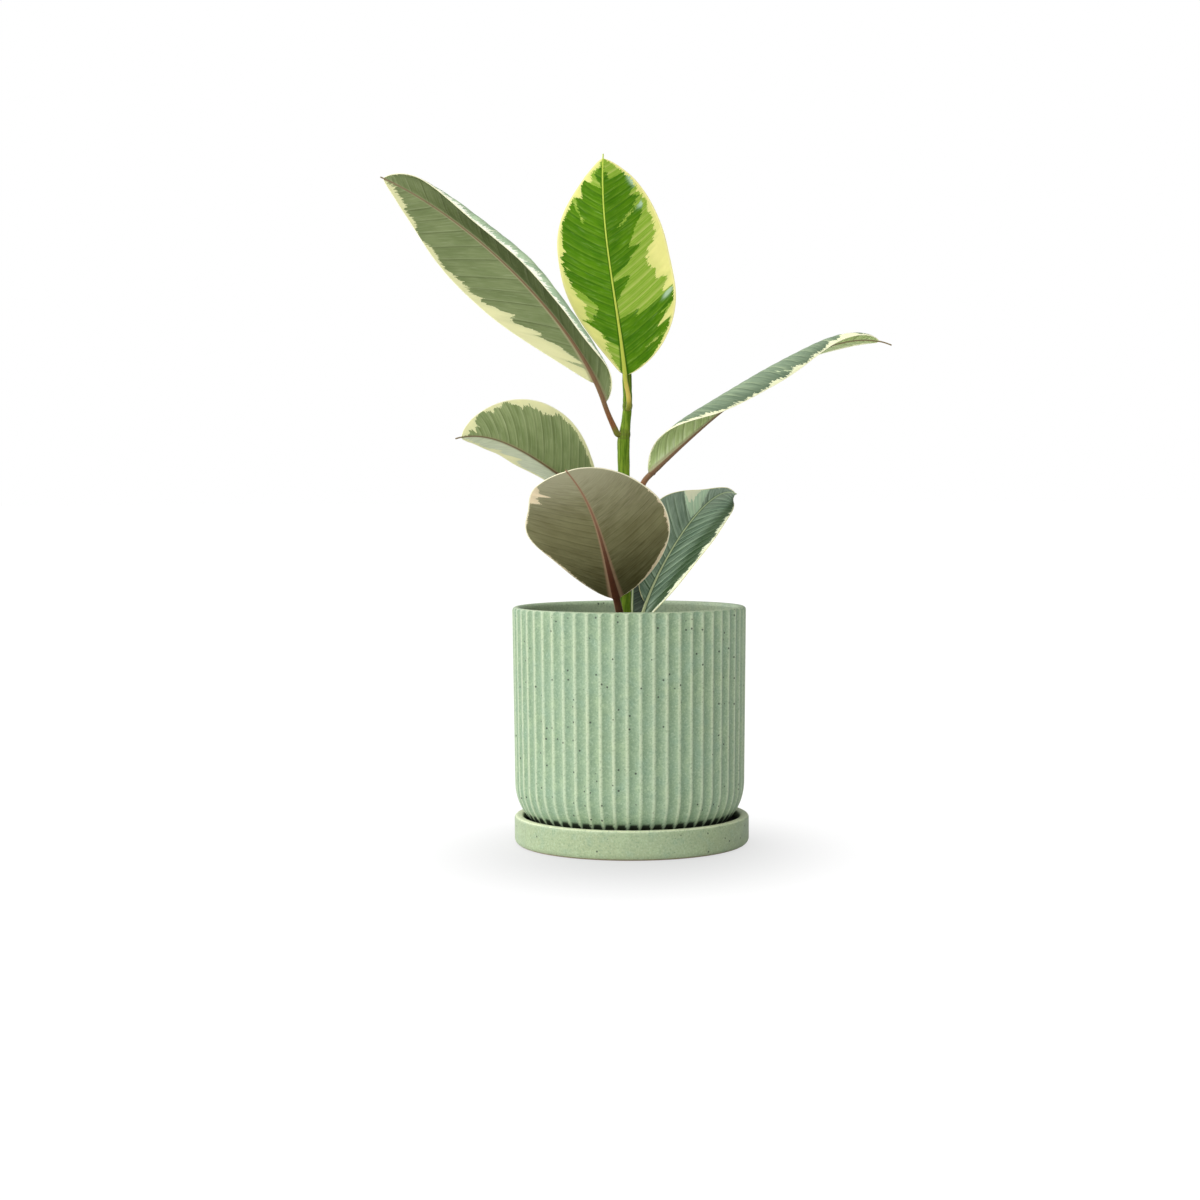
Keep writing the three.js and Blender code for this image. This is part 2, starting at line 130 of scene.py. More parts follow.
# The units of a tissue's outline, along the midrib and over the half-width
OUTLINE_UNITS = (1000, 100)

# Leaves. midrib: a cubic curve from the blade's base to its tip. seat: where the stalk starts on
# the stem, as height, degrees round it from +X and degrees of rise. stalk: its radius. rib_fall:
# how fast the midrib thins out. turn: how many degrees the face is rolled, at even steps from base
# to tip. Each half has its half-width, fold and curl at such steps, and late is how far out the
# curl sets in. start, tip: the shares of the midrib that the outline leaves bare, and blunt the
# power that shapes its ends. ruffle: the height in mm of the waves of the margin. veins: how many
# mm a side vein rises for each mm across, and how much it bends up. green, dark: the outer edges of
# the green tissue and of its dark middle, each as pairs: a vein's start in thousandths of the
# midrib, and hundredths of the half-width. streaks: pale streaks from one such pair to another,
# with their width in mm. Then the painted light: painted sheen, or painted deeper shade where
# negative, at even steps from base to tip, and outer what the margin adds to it. Then soft spots of
# painted sheen, each with its place and its reach as shares of the midrib and the half-width. gain:
# how bright the under and upper faces are, partly the leaf's own green and partly painted light
# and shade for how much light reaches that leaf.
# swell: how far the blade swells between side veins, and their spacing. pleat: a half's share of
# it. upper: 1 where the upper face looks to the front, and -1 where it looks back. A half takes
# what it doesn't say from its leaf, and a leaf from the usual one, in which the dark middle ends
# far outside the margin and so takes in all of the green.
USUAL_LEAF = {
    "start": 0, "tip": 0.035, "blunt": 0.7, "rib_fall": 4.5, "turn": [0, 0], "curl": [0, 0], "late": 1,
    "pleat": 1, "upper": -1, "dark": [(0, 9900)], "streaks": [], "painted_light": [0, 0], "outer": 0,
    "painted_sheen": [], "gain": (1.0, 1.0),
}

LEAVES = {
    "leaf_top": {
        "midrib": [(-2, -6, 299), (-6, -13, 345), (-18, -19, 389), (-15, -25, 436)], "seat": (280, -80, 65),
        "stalk": 1.4, "tip": 0.02, "rows": 230, "columns": 46, "finish": "bright", "ruffle": 0.5,
        "swell": (0.12, 5.4), "veins": (0.5, 0.3),
        "left": {
            "width": [21, 28.5, 32, 34, 20], "fold": [-6, -10, -14],
            "green": [
                (0, 60), (50, 77), (100, 72), (120, 60), (130, 45), (140, 62), (160, 58), (170, 80),
                (178, 91), (190, 74), (220, 75), (250, 72), (270, 64), (280, 80), (300, 78), (320, 84),
                (360, 89), (400, 94), (450, 91), (470, 83), (480, 89), (500, 90), (550, 92), (600, 95),
                (650, 90), (690, 92), (730, 92), (745, 67), (757, 70), (770, 76), (790, 82), (810, 92),
                (830, 97), (838, 60), (850, 52), (870, 65), (900, 70), (920, 50), (950, 40),
            ],
            "dark": [
                (130, -10), (138, 60), (160, 58), (170, 80), (178, 91), (190, 72), (220, 60), (250, 50),
                (280, 40), (300, 50), (315, 67), (325, 110), (832, 110), (840, 10), (870, 15), (878, 40),
                (900, 50), (920, 45), (930, 20), (950, 10),
            ],
            "streaks": [((656, 48), (730, 92), 3.4), ((390, 78), (390, 86), 0.9)],
        },
        "right": {
            "width": [57, 46, 39, 42, 50], "fold": [-6, -10, -14],
            "green": [
                (20, 93), (60, 95), (85, 94), (90, 74), (100, 76), (110, 85), (130, 90), (140, 97),
                (200, 96), (210, 80), (225, 80), (240, 84), (260, 90), (290, 72), (310, 70), (325, 74),
                (350, 70), (375, 62), (400, 63), (420, 57), (430, 70), (445, 63), (460, 80), (475, 75),
                (490, 88), (540, 86), (560, 89), (575, 92), (600, 85), (625, 88), (660, 92), (700, 88),
                (740, 82), (760, 90), (790, 84), (820, 90), (850, 78), (870, 86), (900, 72), (930, 78),
                (950, 60),
            ],
            "dark": [
                (20, 110), (85, 100), (90, 75), (100, 75), (120, 85), (140, 110), (200, 96), (210, 35),
                (240, 33), (255, 0), (335, 0), (340, 10), (360, 13), (380, 25), (400, 29), (410, 25),
                (420, 8), (425, 0), (445, 0), (455, 28), (475, 37), (490, 55), (506, 50), (520, 35),
                (540, 40), (590, 57), (620, 72), (650, 80), (700, 85), (735, 70), (745, 57), (760, 75),
                (780, 110), (862, 110), (870, 22), (910, 15), (930, 0),
            ],
            "streaks": [
                ((640, 26), (700, 90), 3.8), ((140, 72), (125, 92), 1.2), ((55, 60), (40, 92), 0.8),
            ],
            # Soft spots of painted sheen, a glossy highlight painted on the right half
            "painted_sheen": [(0.8, 0.92, 0.05, 0.16), (0.665, 0.8, 0.02, 0.13), (0.19, 0.87, 0.015, 0.09)],
        },
    },
    "leaf_upper_left": {
        "midrib": [(-15, -11, 281), (-33, -28, 334), (-101, -32, 398), (-153, -36, 421)],
        "seat": (263.5, 205, 64), "stalk": 1.6, "gain": (0.84, 2.2), "tip": 0.01, "rows": 240,
        "columns": 46, "finish": "grey", "ruffle": 0.3, "swell": (0.3, 14.0), "veins": (1.1, 0.1),
        "left": {
            "width": [24, 30, 32, 31.5, 20], "fold": [-20, -20, -20], "start": 0.07,
            "green": [
                (100, -10), (115, 20), (120, 60), (128, 60), (135, 10), (150, 25), (165, 42), (187, 45),
                (205, 70), (222, 55), (237, 60), (255, 80), (270, 75), (290, 65), (300, 67), (320, 80),
                (345, 90), (360, 82), (390, 92), (400, 87), (450, 86), (500, 91), (540, 95), (575, 88),
                (610, 86), (630, 90), (660, 100), (720, 97), (735, 81), (775, 80), (820, 86), (840, 65),
                (880, 60), (905, 50), (940, 25),
            ],
            "dark": [(130, -10), (150, 30), (200, 60), (240, 110)],
        },
        "right": {
            "width": [38, 27, 27, 26, 32], "fold": [-10, -65, -75, -75, -70, -55, -12],
            "curl": [0, 230, 280, 280, 280, 200, 30], "late": 1.7,
            "green": [
                (0, 94), (50, 96), (100, 91), (150, 96), (200, 93), (240, 96), (300, 90), (360, 96),
                (400, 90), (460, 95), (520, 90), (580, 95), (640, 90), (700, 94), (800, 90), (880, 94),
            ],
            "streaks": [((300, 62), (310, 90), 1.2), ((500, 70), (510, 90), 1.0)],
        },
    },
    "leaf_left": {
        "midrib": [(-18, -20, 220), (-43, -39, 233), (-75, -64, 268), (-104, -82, 258)],
        "seat": (207, 225, 15), "stalk": 1.6, "gain": (1.27, 1.5), "rows": 200, "columns": 40,
        "finish": "grey", "ruffle": 0.4, "swell": (0.18, 7.0),
        "left": {
            "width": [26, 30, 28, 21, 12], "fold": [-70, -70, -60], "veins": (0.5, 0.2),
            "painted_light": [0.7, 0.7, 0.7],
            "green": [
                (0, 97), (100, 93), (200, 86), (280, 90), (300, 85), (360, 76), (400, 66), (430, 46),
                (450, 42), (462, 56), (500, 76), (540, 76), (560, 60), (620, 64), (635, 80), (700, 86),
                (800, 80), (880, 70), (920, 40),
            ],
        },
        "right": {
            "width": [27, 30, 33, 33.5, 22], "fold": [-5, -5, -5], "veins": (0.6, 0.2),
            "green": [
                (100, 88), (150, 90), (200, 94), (250, 92), (300, 95), (330, 89), (400, 80), (440, 84),
                (480, 87), (520, 86), (530, 78), (545, 85), (570, 88), (600, 96), (620, 97), (635, 90),
                (650, 84), (670, 86), (690, 84), (700, 72), (712, 80), (740, 90), (760, 100), (780, 97),
                (800, 92), (830, 75), (840, 42), (850, 45), (868, 20), (880, 45), (900, 30), (920, 10),
            ],
            "streaks": [((828, 38), (840, 54), 1.2)],
        },
    },
    "leaf_front": {
        "midrib": [(-8, -12, 158), (-17, -42, 195), (-20, -68, 218), (-37, -104, 238.5)],
        "seat": (142, 255, 15), "stalk": 2.4, "gain": (0.9, 1.0), "tip": 0.01, "turn": [0, -5, -28],
        "rib_fall": 3, "rows": 190, "columns": 42, "finish": "olive", "ruffle": 0.3, "swell": (0.1, 6.5),
        "veins": (0.4, 0.5), "blunt": 0.55,
        "left": {
            "width": [28, 36, 44.5, 43.5, 54], "fold": [-10, -10, -5], "painted_light": [-0.7, -0.3, 0, 0.4, 1.0],
            "green": [
                (0, 95), (100, 94), (200, 98), (350, 100), (450, 97), (600, 100), (618, 96), (625, 76),
                (650, 80), (680, 86), (700, 82), (710, 55), (720, 58), (730, 80), (770, 84), (790, 90),
                (810, 100),
            ],
        },
        "right": {
            "width": [54, 49, 43, 37.5, 34], "fold": [-10, -10, -10], "painted_light": [-0.8, -0.4, 0.2, 0.5, 1.1],
            "green": [
                (0, 88), (40, 93), (70, 97), (100, 98), (170, 97), (220, 95), (250, 98), (300, 98),
                (330, 95), (370, 98), (450, 97), (500, 99), (600, 100), (780, 100),
            ],
        },
    },
    "leaf_lower_right": {
        "midrib": [(7.5, 4, 141), (11, 9, 165), (51, 46, 235), (73, 84, 223.5)], "seat": (137.6, 30, 15),
        "stalk": 1.3, "gain": (1.0, 1.45), "tip": 0, "turn": [0, 0, 20], "rows": 200, "columns": 42,
        "finish": "teal", "ruffle": 0.3, "swell": (0.45, 8.0), "upper": 1,
        "left": {
            "width": [30, 27, 29.5, 11, 1], "fold": [30, 30, 30], "start": 0.1, "blunt": 0.6,
            "veins": (0.4, 0.1), "pleat": 0.3, "painted_light": [0.1, 0.3, 0.4, 0.4, 0.4],
            "green": [
                (0, 100), (570, 105), (580, 80), (590, 60), (600, 46), (612, 62), (630, 55), (645, 66),
                (660, 76), (675, 90), (690, 105),
            ],
            "dark": [
                (570, 110), (575, 50), (590, 5), (640, 3), (680, 8), (710, 30), (730, 60), (745, 110),
            ],
        },
        "right": {
            "width": [32.5, 31, 28, 23, 16], "fold": [50, 50, 50], "veins": (1.2, 0.1),
            "painted_light": [0.1, 0.1, 0.2, 0.6, 0.8], "outer": -2.4,
            "green": [
                (50, 86), (80, 92), (100, 97), (130, 93), (180, 87), (200, 92), (250, 97), (280, 93),
                (330, 90), (380, 95), (450, 92), (480, 98), (500, 102), (520, 96), (560, 94), (600, 98),
                (650, 96), (700, 97), (780, 102), (830, 97),
            ],
        },
    },
    "leaf_right": {
        "midrib": [(13, -1, 235.5), (47, -1, 267), (121, -13, 337), (167, -6, 317.5)],
        "seat": (218, -10, 52), "stalk": 1.9, "gain": (2.1, 1.2), "tip": 0.05, "rows": 240, "columns": 46,
        "finish": "grey", "ruffle": 0.3, "swell": (0.25, 7.5), "veins": (0.9, 0.1),
        "left": {
            "width": [36, 33, 29.5, 27, 25], "fold": [-5, -10, 15, 35, 40, 18, -10],
            "curl": [0, 120, 165, 160, 152, 140, 120], "late": 1.2, "painted_light": [0.4, 0.1, 0, 0, 0.2],
            "outer": -0.8,
            "green": [
                (0, 90), (60, 88), (100, 96), (160, 94), (220, 97), (300, 95), (360, 98), (410, 90),
                (460, 97), (520, 88), (550, 96), (600, 91), (660, 95), (700, 80), (740, 86), (800, 40),
                (830, 85), (900, 84),
            ],
            "streaks": [((460, 74), (500, 95), 1.2)],
        },
        "right": {
            "width": [22, 28, 28, 24, 20], "fold": [-125, -112, -95, -85, -88, -77, -75],
            "green": [(0, 86), (200, 92), (350, 84), (500, 92), (700, 85), (900, 60)],
        },
    },
    "leaf_low_back": {
        "midrib": [(1.5, 7, 142), (2, 14, 158), (3, 26, 172), (4, 38, 182)], "seat": (139, 70, 20),
        "stalk": 1.2, "gain": (0.35, 0.35), "rows": 90, "columns": 22, "finish": "teal", "ruffle": 0.2,
        "swell": (0.2, 5.0), "veins": (0.6, 0.2), "width": [14, 14, 14, 13, 12], "upper": 1,
        "left": {
            "fold": [5, 5, 5], "green": [(0, 93), (400, 88), (700, 94), (1000, 90)],
        },
        "right": {
            "fold": [0, 0, 0], "green": [(0, 95), (300, 90), (600, 93), (1000, 90)],
        },
    },
}

# Leaf finishes. upper, under: dark green, mid green, pale tissue, the painted sheen and the deep
# shade that the painted light paints where negative, which also darkens the fine streaks and paints
# the shade in the creases. cream: on the under and the upper face. rib: on the stalk, at the base of
# the midrib and towards its tip. flank: beside the rib, painted shade on the bright finish and the
# rib's pale edge on the grey and olive. tooth: how far the green's edge jumps from vein to vein.
# creases: how much the painted shade below a side vein and the painted light above it show. grain:
# how much the fine streaks show. border: the width in mm of the pale line round the margin.
FINISHES = {
    "bright": {
        "upper": [(52, 104, 12), (84, 130, 20), (146, 176, 66), (176, 206, 180), (36, 76, 6)],
        "under": [(60, 112, 4), (88, 136, 8), (140, 174, 58), (186, 214, 180), (34, 80, 2)],
        "cream": [(236, 232, 144), (234, 230, 150)], "margin": (238, 232, 158),
        "rib": [(198, 178, 88), (186, 194, 80), (190, 208, 84)], "flank": (48, 92, 4),
        "slot": "leaf_bright", "border": 1.5, "grain": 1.0, "tooth": 1.25, "creases": (0.45, 0.2),
        "roughness": 0.36, "specular": 0.06,
    },
    "grey": {
        "upper": [(104, 122, 100), (132, 150, 122), (176, 190, 150), (200, 212, 192), (70, 90, 66)],
        "under": [(112, 128, 78), (134, 148, 98), (168, 178, 132), (206, 212, 186), (78, 90, 48)],
        "cream": [(228, 226, 172), (242, 240, 196)], "margin": (248, 244, 208),
        "rib": [(140, 92, 58), (126, 98, 70), (126, 110, 80)], "flank": (154, 148, 112),
        "slot": "leaf_grey", "border": 0.7, "grain": 1.0, "tooth": 1.1, "creases": (0.55, 0.35),
        "roughness": 0.5, "specular": 0.22,
    },
    "olive": {
        "upper": [(58, 82, 40), (84, 108, 62), (150, 160, 110), (170, 180, 130), (40, 60, 24)],
        "under": [(118, 114, 76), (138, 136, 96), (160, 156, 116), (186, 182, 150), (62, 60, 16)],
        "cream": [(250, 230, 192), (214, 196, 152)], "margin": (252, 240, 206),
        "rib": [(74, 48, 25), (92, 54, 36), (150, 112, 86)], "flank": (168, 136, 108),
        "slot": "leaf_olive", "border": 0.9, "grain": 0.6, "tooth": 0.7, "creases": (0.4, 0.25),
        "roughness": 0.55, "specular": 0.2,
    },
    "teal": {
        "upper": [(76, 98, 82), (112, 130, 110), (170, 194, 164), (146, 160, 142), (28, 54, 8)],
        "under": [(90, 108, 66), (122, 138, 98), (168, 176, 130), (180, 190, 150), (60, 76, 40)],
        "cream": [(226, 222, 174), (242, 238, 196)], "margin": (232, 228, 172),
        "rib": [(176, 178, 132), (184, 194, 146), (176, 194, 152)], "flank": (60, 84, 60),
        "slot": "leaf_teal", "border": 0.5, "grain": 1.0, "tooth": 1.0, "creases": (0.9, 0.5),
        "roughness": 0.42, "specular": 0.22,
    },
}


def linear(colour, gain=1.0):
    """A colour given as 0 to 255 in sRGB, made linear and brighter by a gain."""
    shares = np.array(colour, float) / 255
    made = np.where(shares <= 0.04045, shares / 12.92, ((shares + 0.055) / 1.055) ** 2.4)
    return (*np.minimum(made * gain, BRIGHTEST_COLOUR).tolist(), 1.0)


def ease(value):
    """A smooth step: nothing below 0, one above 1."""
    x = np.clip(value, 0, 1)
    return x * x * (3 - 2 * x)


def blend_of(low, high, share):
    """A share of the way from low to high."""
    return low + (high - low) * share


def along_steps(values, t):
    """A smooth curve at t through values that stand at even steps from 0 to 1."""
    v = np.asarray(values, float)
    last = len(v) - 1
    at = np.clip(t, 0, 1) * last
    i = np.minimum(np.floor(at).astype(int), last - 1)
    padded = np.concatenate([[2 * v[0] - v[1]], v, [2 * v[-1] - v[-2]]])
    before, here, after, beyond = (padded[i + k] for k in range(4))
    slope_start = (after - before) / 2
    slope_end = (beyond - here) / 2
    f = at - i
    rise = after - here
    return (here + slope_start * f + (3 * rise - 2 * slope_start - slope_end) * f ** 2
            + (slope_start + slope_end - 2 * rise) * f ** 3)


def unit(vectors):
    """Vectors made one long."""
    return vectors / np.linalg.norm(vectors, axis=-1, keepdims=True)


def cubic(points, share):
    """Points and directions of a cubic curve, at shares of its length, with that length."""
    p = np.asarray(points, float)

    def at(u):
        u = u[:, None]
        return (1 - u) ** 3 * p[0] + 3 * (1 - u) ** 2 * u * p[1] + 3 * (1 - u) * u ** 2 * p[2] + u ** 3 * p[3]

    fine = np.linspace(0, 1, 2001)
    steps = np.linalg.norm(np.diff(at(fine), axis=0), axis=1)
    length = np.concatenate([[0], np.cumsum(steps)])
    u = np.interp(np.asarray(share) * length[-1], length, fine)
    v = u[:, None]
    way = (1 - v) ** 2 * (p[1] - p[0]) + 2 * (1 - v) * v * (p[2] - p[1]) + v ** 2 * (p[3] - p[2])
    return at(u), unit(way), length[-1]


def circle(count):
    """Angles at even steps round a circle."""
    return np.linspace(0, 2 * np.pi, count, endpoint=False)


def quarter(centre_radius, centre_height, size, start, end, steps):
    """Radii and heights on an arc, between two angles in degrees from level."""
    angle = np.radians(np.linspace(start, end, steps))
    return np.stack([centre_radius + size * np.cos(angle), centre_height + size * np.sin(angle)], -1)


def rings_of(radius, height, angle, x=0.0, y=0.0):
    """Rings of points at their radii and heights round an upright axis at x and y."""
    across = x + radius * np.cos(angle)
    return np.stack([across, y + radius * np.sin(angle), np.broadcast_to(height, across.shape)], -1)


def grid_faces(rows, columns):
    """Four-sided faces between neighbouring closed rows of a grid of points."""
    i, j = np.meshgrid(np.arange(rows - 1), np.arange(columns), indexing="ij")
    here = i * columns + j
    beside = i * columns + (j + 1) % columns
    return np.stack([here, beside, beside + columns, here + columns], -1).reshape(-1, 4)


def skin(rings, loop=False):
    """One closed skin over rings of points, an array of rows by columns by 3. The ends are closed
    with a fan to a middle point, or the last ring joins the first. Faces point outward."""
    rows, columns, _ = rings.shape
    points = rings.reshape(-1, 3)
    if loop:
        faces = grid_faces(rows + 1, columns) % (rows * columns)
        fans = np.zeros((0, 3), int)
    else:
        faces = grid_faces(rows, columns)
        points = np.concatenate([points, rings[[0, -1]].mean(1)])
        first = np.arange(columns)
        last = first + (rows - 1) * columns
        hub = rows * columns
        fans = np.concatenate([
            np.stack([np.roll(first, -1), first, np.full(columns, hub)], -1),
            np.stack([last, np.roll(last, -1), np.full(columns, hub + 1)], -1),
        ])
    triangles = np.concatenate([faces[:, [0, 1, 2]], faces[:, [0, 2, 3]], fans])
    a, b, c = (points[triangles[:, k]] for k in range(3))
    if np.einsum("ij,ij->", a, np.cross(b, c)) < 0:
        faces = faces[:, ::-1]
        fans = fans[:, ::-1]
    return points, faces.tolist() + fans.tolist()


def with_ends(array):
    """The values of a grid, followed by those of the two middle points that close its ends."""
    rows, columns = array.shape[:2]
    return np.concatenate([array.reshape(rows * columns, -1), array[[0, -1]].mean(1)])


def make_piece(name, rings, material, values=None, loop=False):
    """A smooth closed mesh over rings in millimetres. values: a name and three numbers a point for
    each attribute that the finish reads. The piece stands for the node of its name."""
    points, faces = skin(rings, loop)
    mesh = bpy.data.meshes.new(name)
    mesh.from_pydata((points * MM).tolist(), [], faces)
    for key, array in (values or {}).items():
        array = array.reshape(-1, 3) if loop else with_ends(array)
        attribute = mesh.attributes.new(key, "FLOAT_VECTOR", "POINT")
        attribute.data.foreach_set("vector", np.ascontiguousarray(array, np.float32).ravel())
    mesh.shade_smooth()
    mesh.materials.append(material)
    piece = bpy.data.objects.new(f"{name}_dressed", mesh)
    bpy.context.scene.collection.objects.link(piece)
    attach(piece, "root")
    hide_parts(name)


def lattice_noise(points, size, seed):
    """Smooth noise from -1 to 1 at points of a plane: random values on a square lattice of the
    given size, blended between its corners with a smooth step."""
    count = 256
    values = np.random.default_rng(seed).uniform(-1, 1, (count, count))
    scaled = points / size + 128.37
    cell = np.floor(scaled).astype(int)
    share = ease(scaled - cell)
    x, y = cell[..., 0] % count, cell[..., 1] % count
    x1, y1 = (x + 1) % count, (y + 1) % count
    low = blend_of(values[x, y], values[x1, y], share[..., 0])
    high = blend_of(values[x, y1], values[x1, y1], share[..., 0])
    return blend_of(low, high, share[..., 1])


class Tree:
    """Adds nodes to one shader tree. An input is given as a number, a colour, a vector or a socket."""

    def __init__(self, tree):
        self.tree = tree

    def feed(self, inputs, values):
        """Gives inputs their values, by name or number."""
        for key, value in values.items():
            if isinstance(value, bpy.types.NodeSocket):
                self.tree.links.new(value, inputs[key])
            else:
                inputs[key].default_value = value

    def add(self, kind, inputs=None, **settings):
        """The outputs of a node with its settings and inputs."""
        node = self.tree.nodes.new("ShaderNode" + kind)
        for key, value in settings.items():
            setattr(node, key, value)
        self.feed(node.inputs, inputs or {})
        return node.outputs

    def math(self, operation, *numbers):
        """The result of a sum on numbers."""
        return self.add("Math", dict(enumerate(numbers)), operation=operation)[0]

    def times(self, a, b):
        """Two numbers multiplied."""
        return self.math("MULTIPLY", a, b)

    def minus(self, a, b):
        """The second number taken from the first."""
        return self.math("SUBTRACT", a, b)

    def mix(self, share, a, b):
        """One colour mixed into another."""
        return self.add("Mix", {0: share, 6: a, 7: b}, data_type="RGBA")[2]

    def step(self, value, start, end, low=0.0, high=1.0):
        """A smooth step from low at start to high at end."""
        inputs = {"Value": value, "From Min": start, "From Max": end, "To Min": low, "To Max": high}
        return self.add("MapRange", inputs, interpolation_type="SMOOTHSTEP")[0]

    def tint(self, colour, other, value, start, end, most=1.0):
        """A colour with up to a share of another, as a value goes from start to end."""
        return self.mix(self.step(value, start, end, 0.0, most), colour, other)

    def noise(self, vector, scale=1.0, detail=2.0, roughness=0.5):
        """Noise from 0 to 1."""
        inputs = {"Vector": vector, "Scale": scale, "Detail": detail, "Roughness": roughness}
        return self.add("TexNoise", inputs)[0]

    def specks(self, place, scale, channel, kept, start, end):
        """Round specks in the cells whose random colour is under a share in one channel."""
        cells = self.add("TexVoronoi", {"Vector": place, "Scale": scale})
        pick = self.math("LESS_THAN", self.split(cells["Color"])[channel], kept)
        return self.times(self.step(cells["Distance"], start, end), pick)

    def scaled(self, vector, scale, shift=(0.0, 0.0, 0.0)):
        """A vector scaled along each axis and then moved."""
        return self.add("Mapping", {"Vector": vector, "Scale": scale, "Location": shift})[0]

    def split(self, vector):
        """The three numbers of a vector."""
        return self.add("SeparateXYZ", {0: vector})

    def join(self, x, y, z):
        """A vector of three numbers."""
        return self.add("CombineXYZ", {0: x, 1: y, 2: z})[0]

    def read(self, name):
        """An attribute of the piece, as a vector."""
        return self.add("Attribute", attribute_name=name)["Vector"]

    def object_place(self):
        """The place of a point on the piece, in metres."""
        return self.add("TexCoord")["Object"]

    def seen(self):
        """One where the camera looks at the surface itself, and nothing for its light."""
        return self.add("LightPath")["Is Camera Ray"]


def new_group(name, inputs, outputs):
    """An empty shader group, its tree, and its input and output sockets by name."""
    group = bpy.data.node_groups.new(name, "ShaderNodeTree")
    for way, sockets in (("INPUT", inputs), ("OUTPUT", outputs)):
        for label, kind in sockets.items():
            group.interface.new_socket(label, in_out=way, socket_type=f"NodeSocket{kind}")
    taken = group.nodes.new("NodeGroupInput").outputs
    given = group.nodes.new("NodeGroupOutput").inputs
    return group, Tree(group), taken, given


def new_material(name):
    """A material, the tree to add to, and its Principled shader's inputs."""
    material = bpy.data.materials.new(name)
    material.use_nodes = True
    return material, Tree(material.node_tree), material.node_tree.nodes["Principled BSDF"].inputs


def finish_surface(tree, shader, colour, roughness, height, depth_mm, specular=0.5):
    """Feeds colour, roughness and a bump of the given depth into a shader."""
    bump = tree.add("Bump", {"Height": height, "Distance": depth_mm * MM, "Strength": 1.0})
    tree.feed(shader, {
        "Base Color": colour, "Roughness": roughness, "Normal": bump["Normal"],
        "Specular IOR Level": specular,
    })


def leaf_marks_group():
    """Where a blade is green and dark, where it has painted shade below its side veins and painted
    light above them, and where it is streaked, from its attributes. Noise drawn out along the side
    veins moves the edges of the green and of the dark middle by up to a tooth."""
    group, tree, taken, given = new_group(
        "leaf marks",
        {"Vein": "Vector", "Tissue": "Vector", "Tooth": "Float", "Spacing": "Float"},
        dict.fromkeys(("Green", "Dark", "Crease", "Crest", "Grain", "Mottle", "Height"), "Float"),
    )
    lane, across, _ = tree.split(taken["Vein"])
    green, dark, margin = tree.split(taken["Tissue"])

    def drawn_out(along_size, across_size, seed, detail, roughness=0.5):
        place = tree.join(tree.math("DIVIDE", lane, along_size),
                          tree.math("DIVIDE", across, across_size), seed)
        return tree.noise(place, detail=detail, roughness=roughness)

    jump = 0.0
    for size, long, seed, reach in TEETH:
        noise = drawn_out(size, long, seed, 1.0)
        jump = tree.math("ADD", jump, tree.times(tree.minus(noise, 0.5), reach))
    jump = tree.times(jump, taken["Tooth"])

    def lines(period, reach):
        """How near a point is to a line of every period, and whether it lies below that line."""
        off = tree.minus(tree.math("FRACT", tree.math("DIVIDE", lane, period)), 0.5)
        from_line = tree.times(tree.minus(0.5, tree.math("ABSOLUTE", off)), period)
        return tree.step(from_line, reach, 0.05), tree.math("GREATER_THAN", off, 0.0)

    uneven = drawn_out(5.0, 60.0, 3.0, 1.0)
    fade = tree.times(tree.step(margin, 0.5, 6.0), tree.step(uneven, 0.3, 0.6, 0.5, 1.0))
    main, below = lines(taken["Spacing"], 2.4)
    main = tree.times(main, fade)
    small, small_below = lines(tree.times(taken["Spacing"], 0.27), 0.7)
    small = tree.times(small, tree.step(uneven, 0.7, 0.4, 0.1, 0.45))

    def on_side(side):
        """The lines below each vein, which are its crease, or with a side of 1 those above it."""
        return tree.math("MAXIMUM", *(
            tree.times(line, tree.math("ABSOLUTE", tree.minus(share, side)))
            for line, share in ((main, below), (small, small_below))
        ))

    grain = drawn_out(1.3, 9.0, 2.0, 3.0, 0.6)
    # Crease is painted shade below each side vein, Crest painted light above it
    tree.feed(given, {
        "Green": tree.step(tree.math("ADD", green, jump), -0.1, 0.15),
        "Dark": tree.step(tree.minus(dark, jump), -0.2, 0.2),
        "Crease": on_side(0.0),
        "Crest": on_side(1.0),
        "Grain": grain,
        "Mottle": drawn_out(12.0, 12.0, 9.0, 3.0),
        "Height": tree.math("MULTIPLY_ADD", main, -0.8, tree.times(grain, 0.5)),
    })
    return group


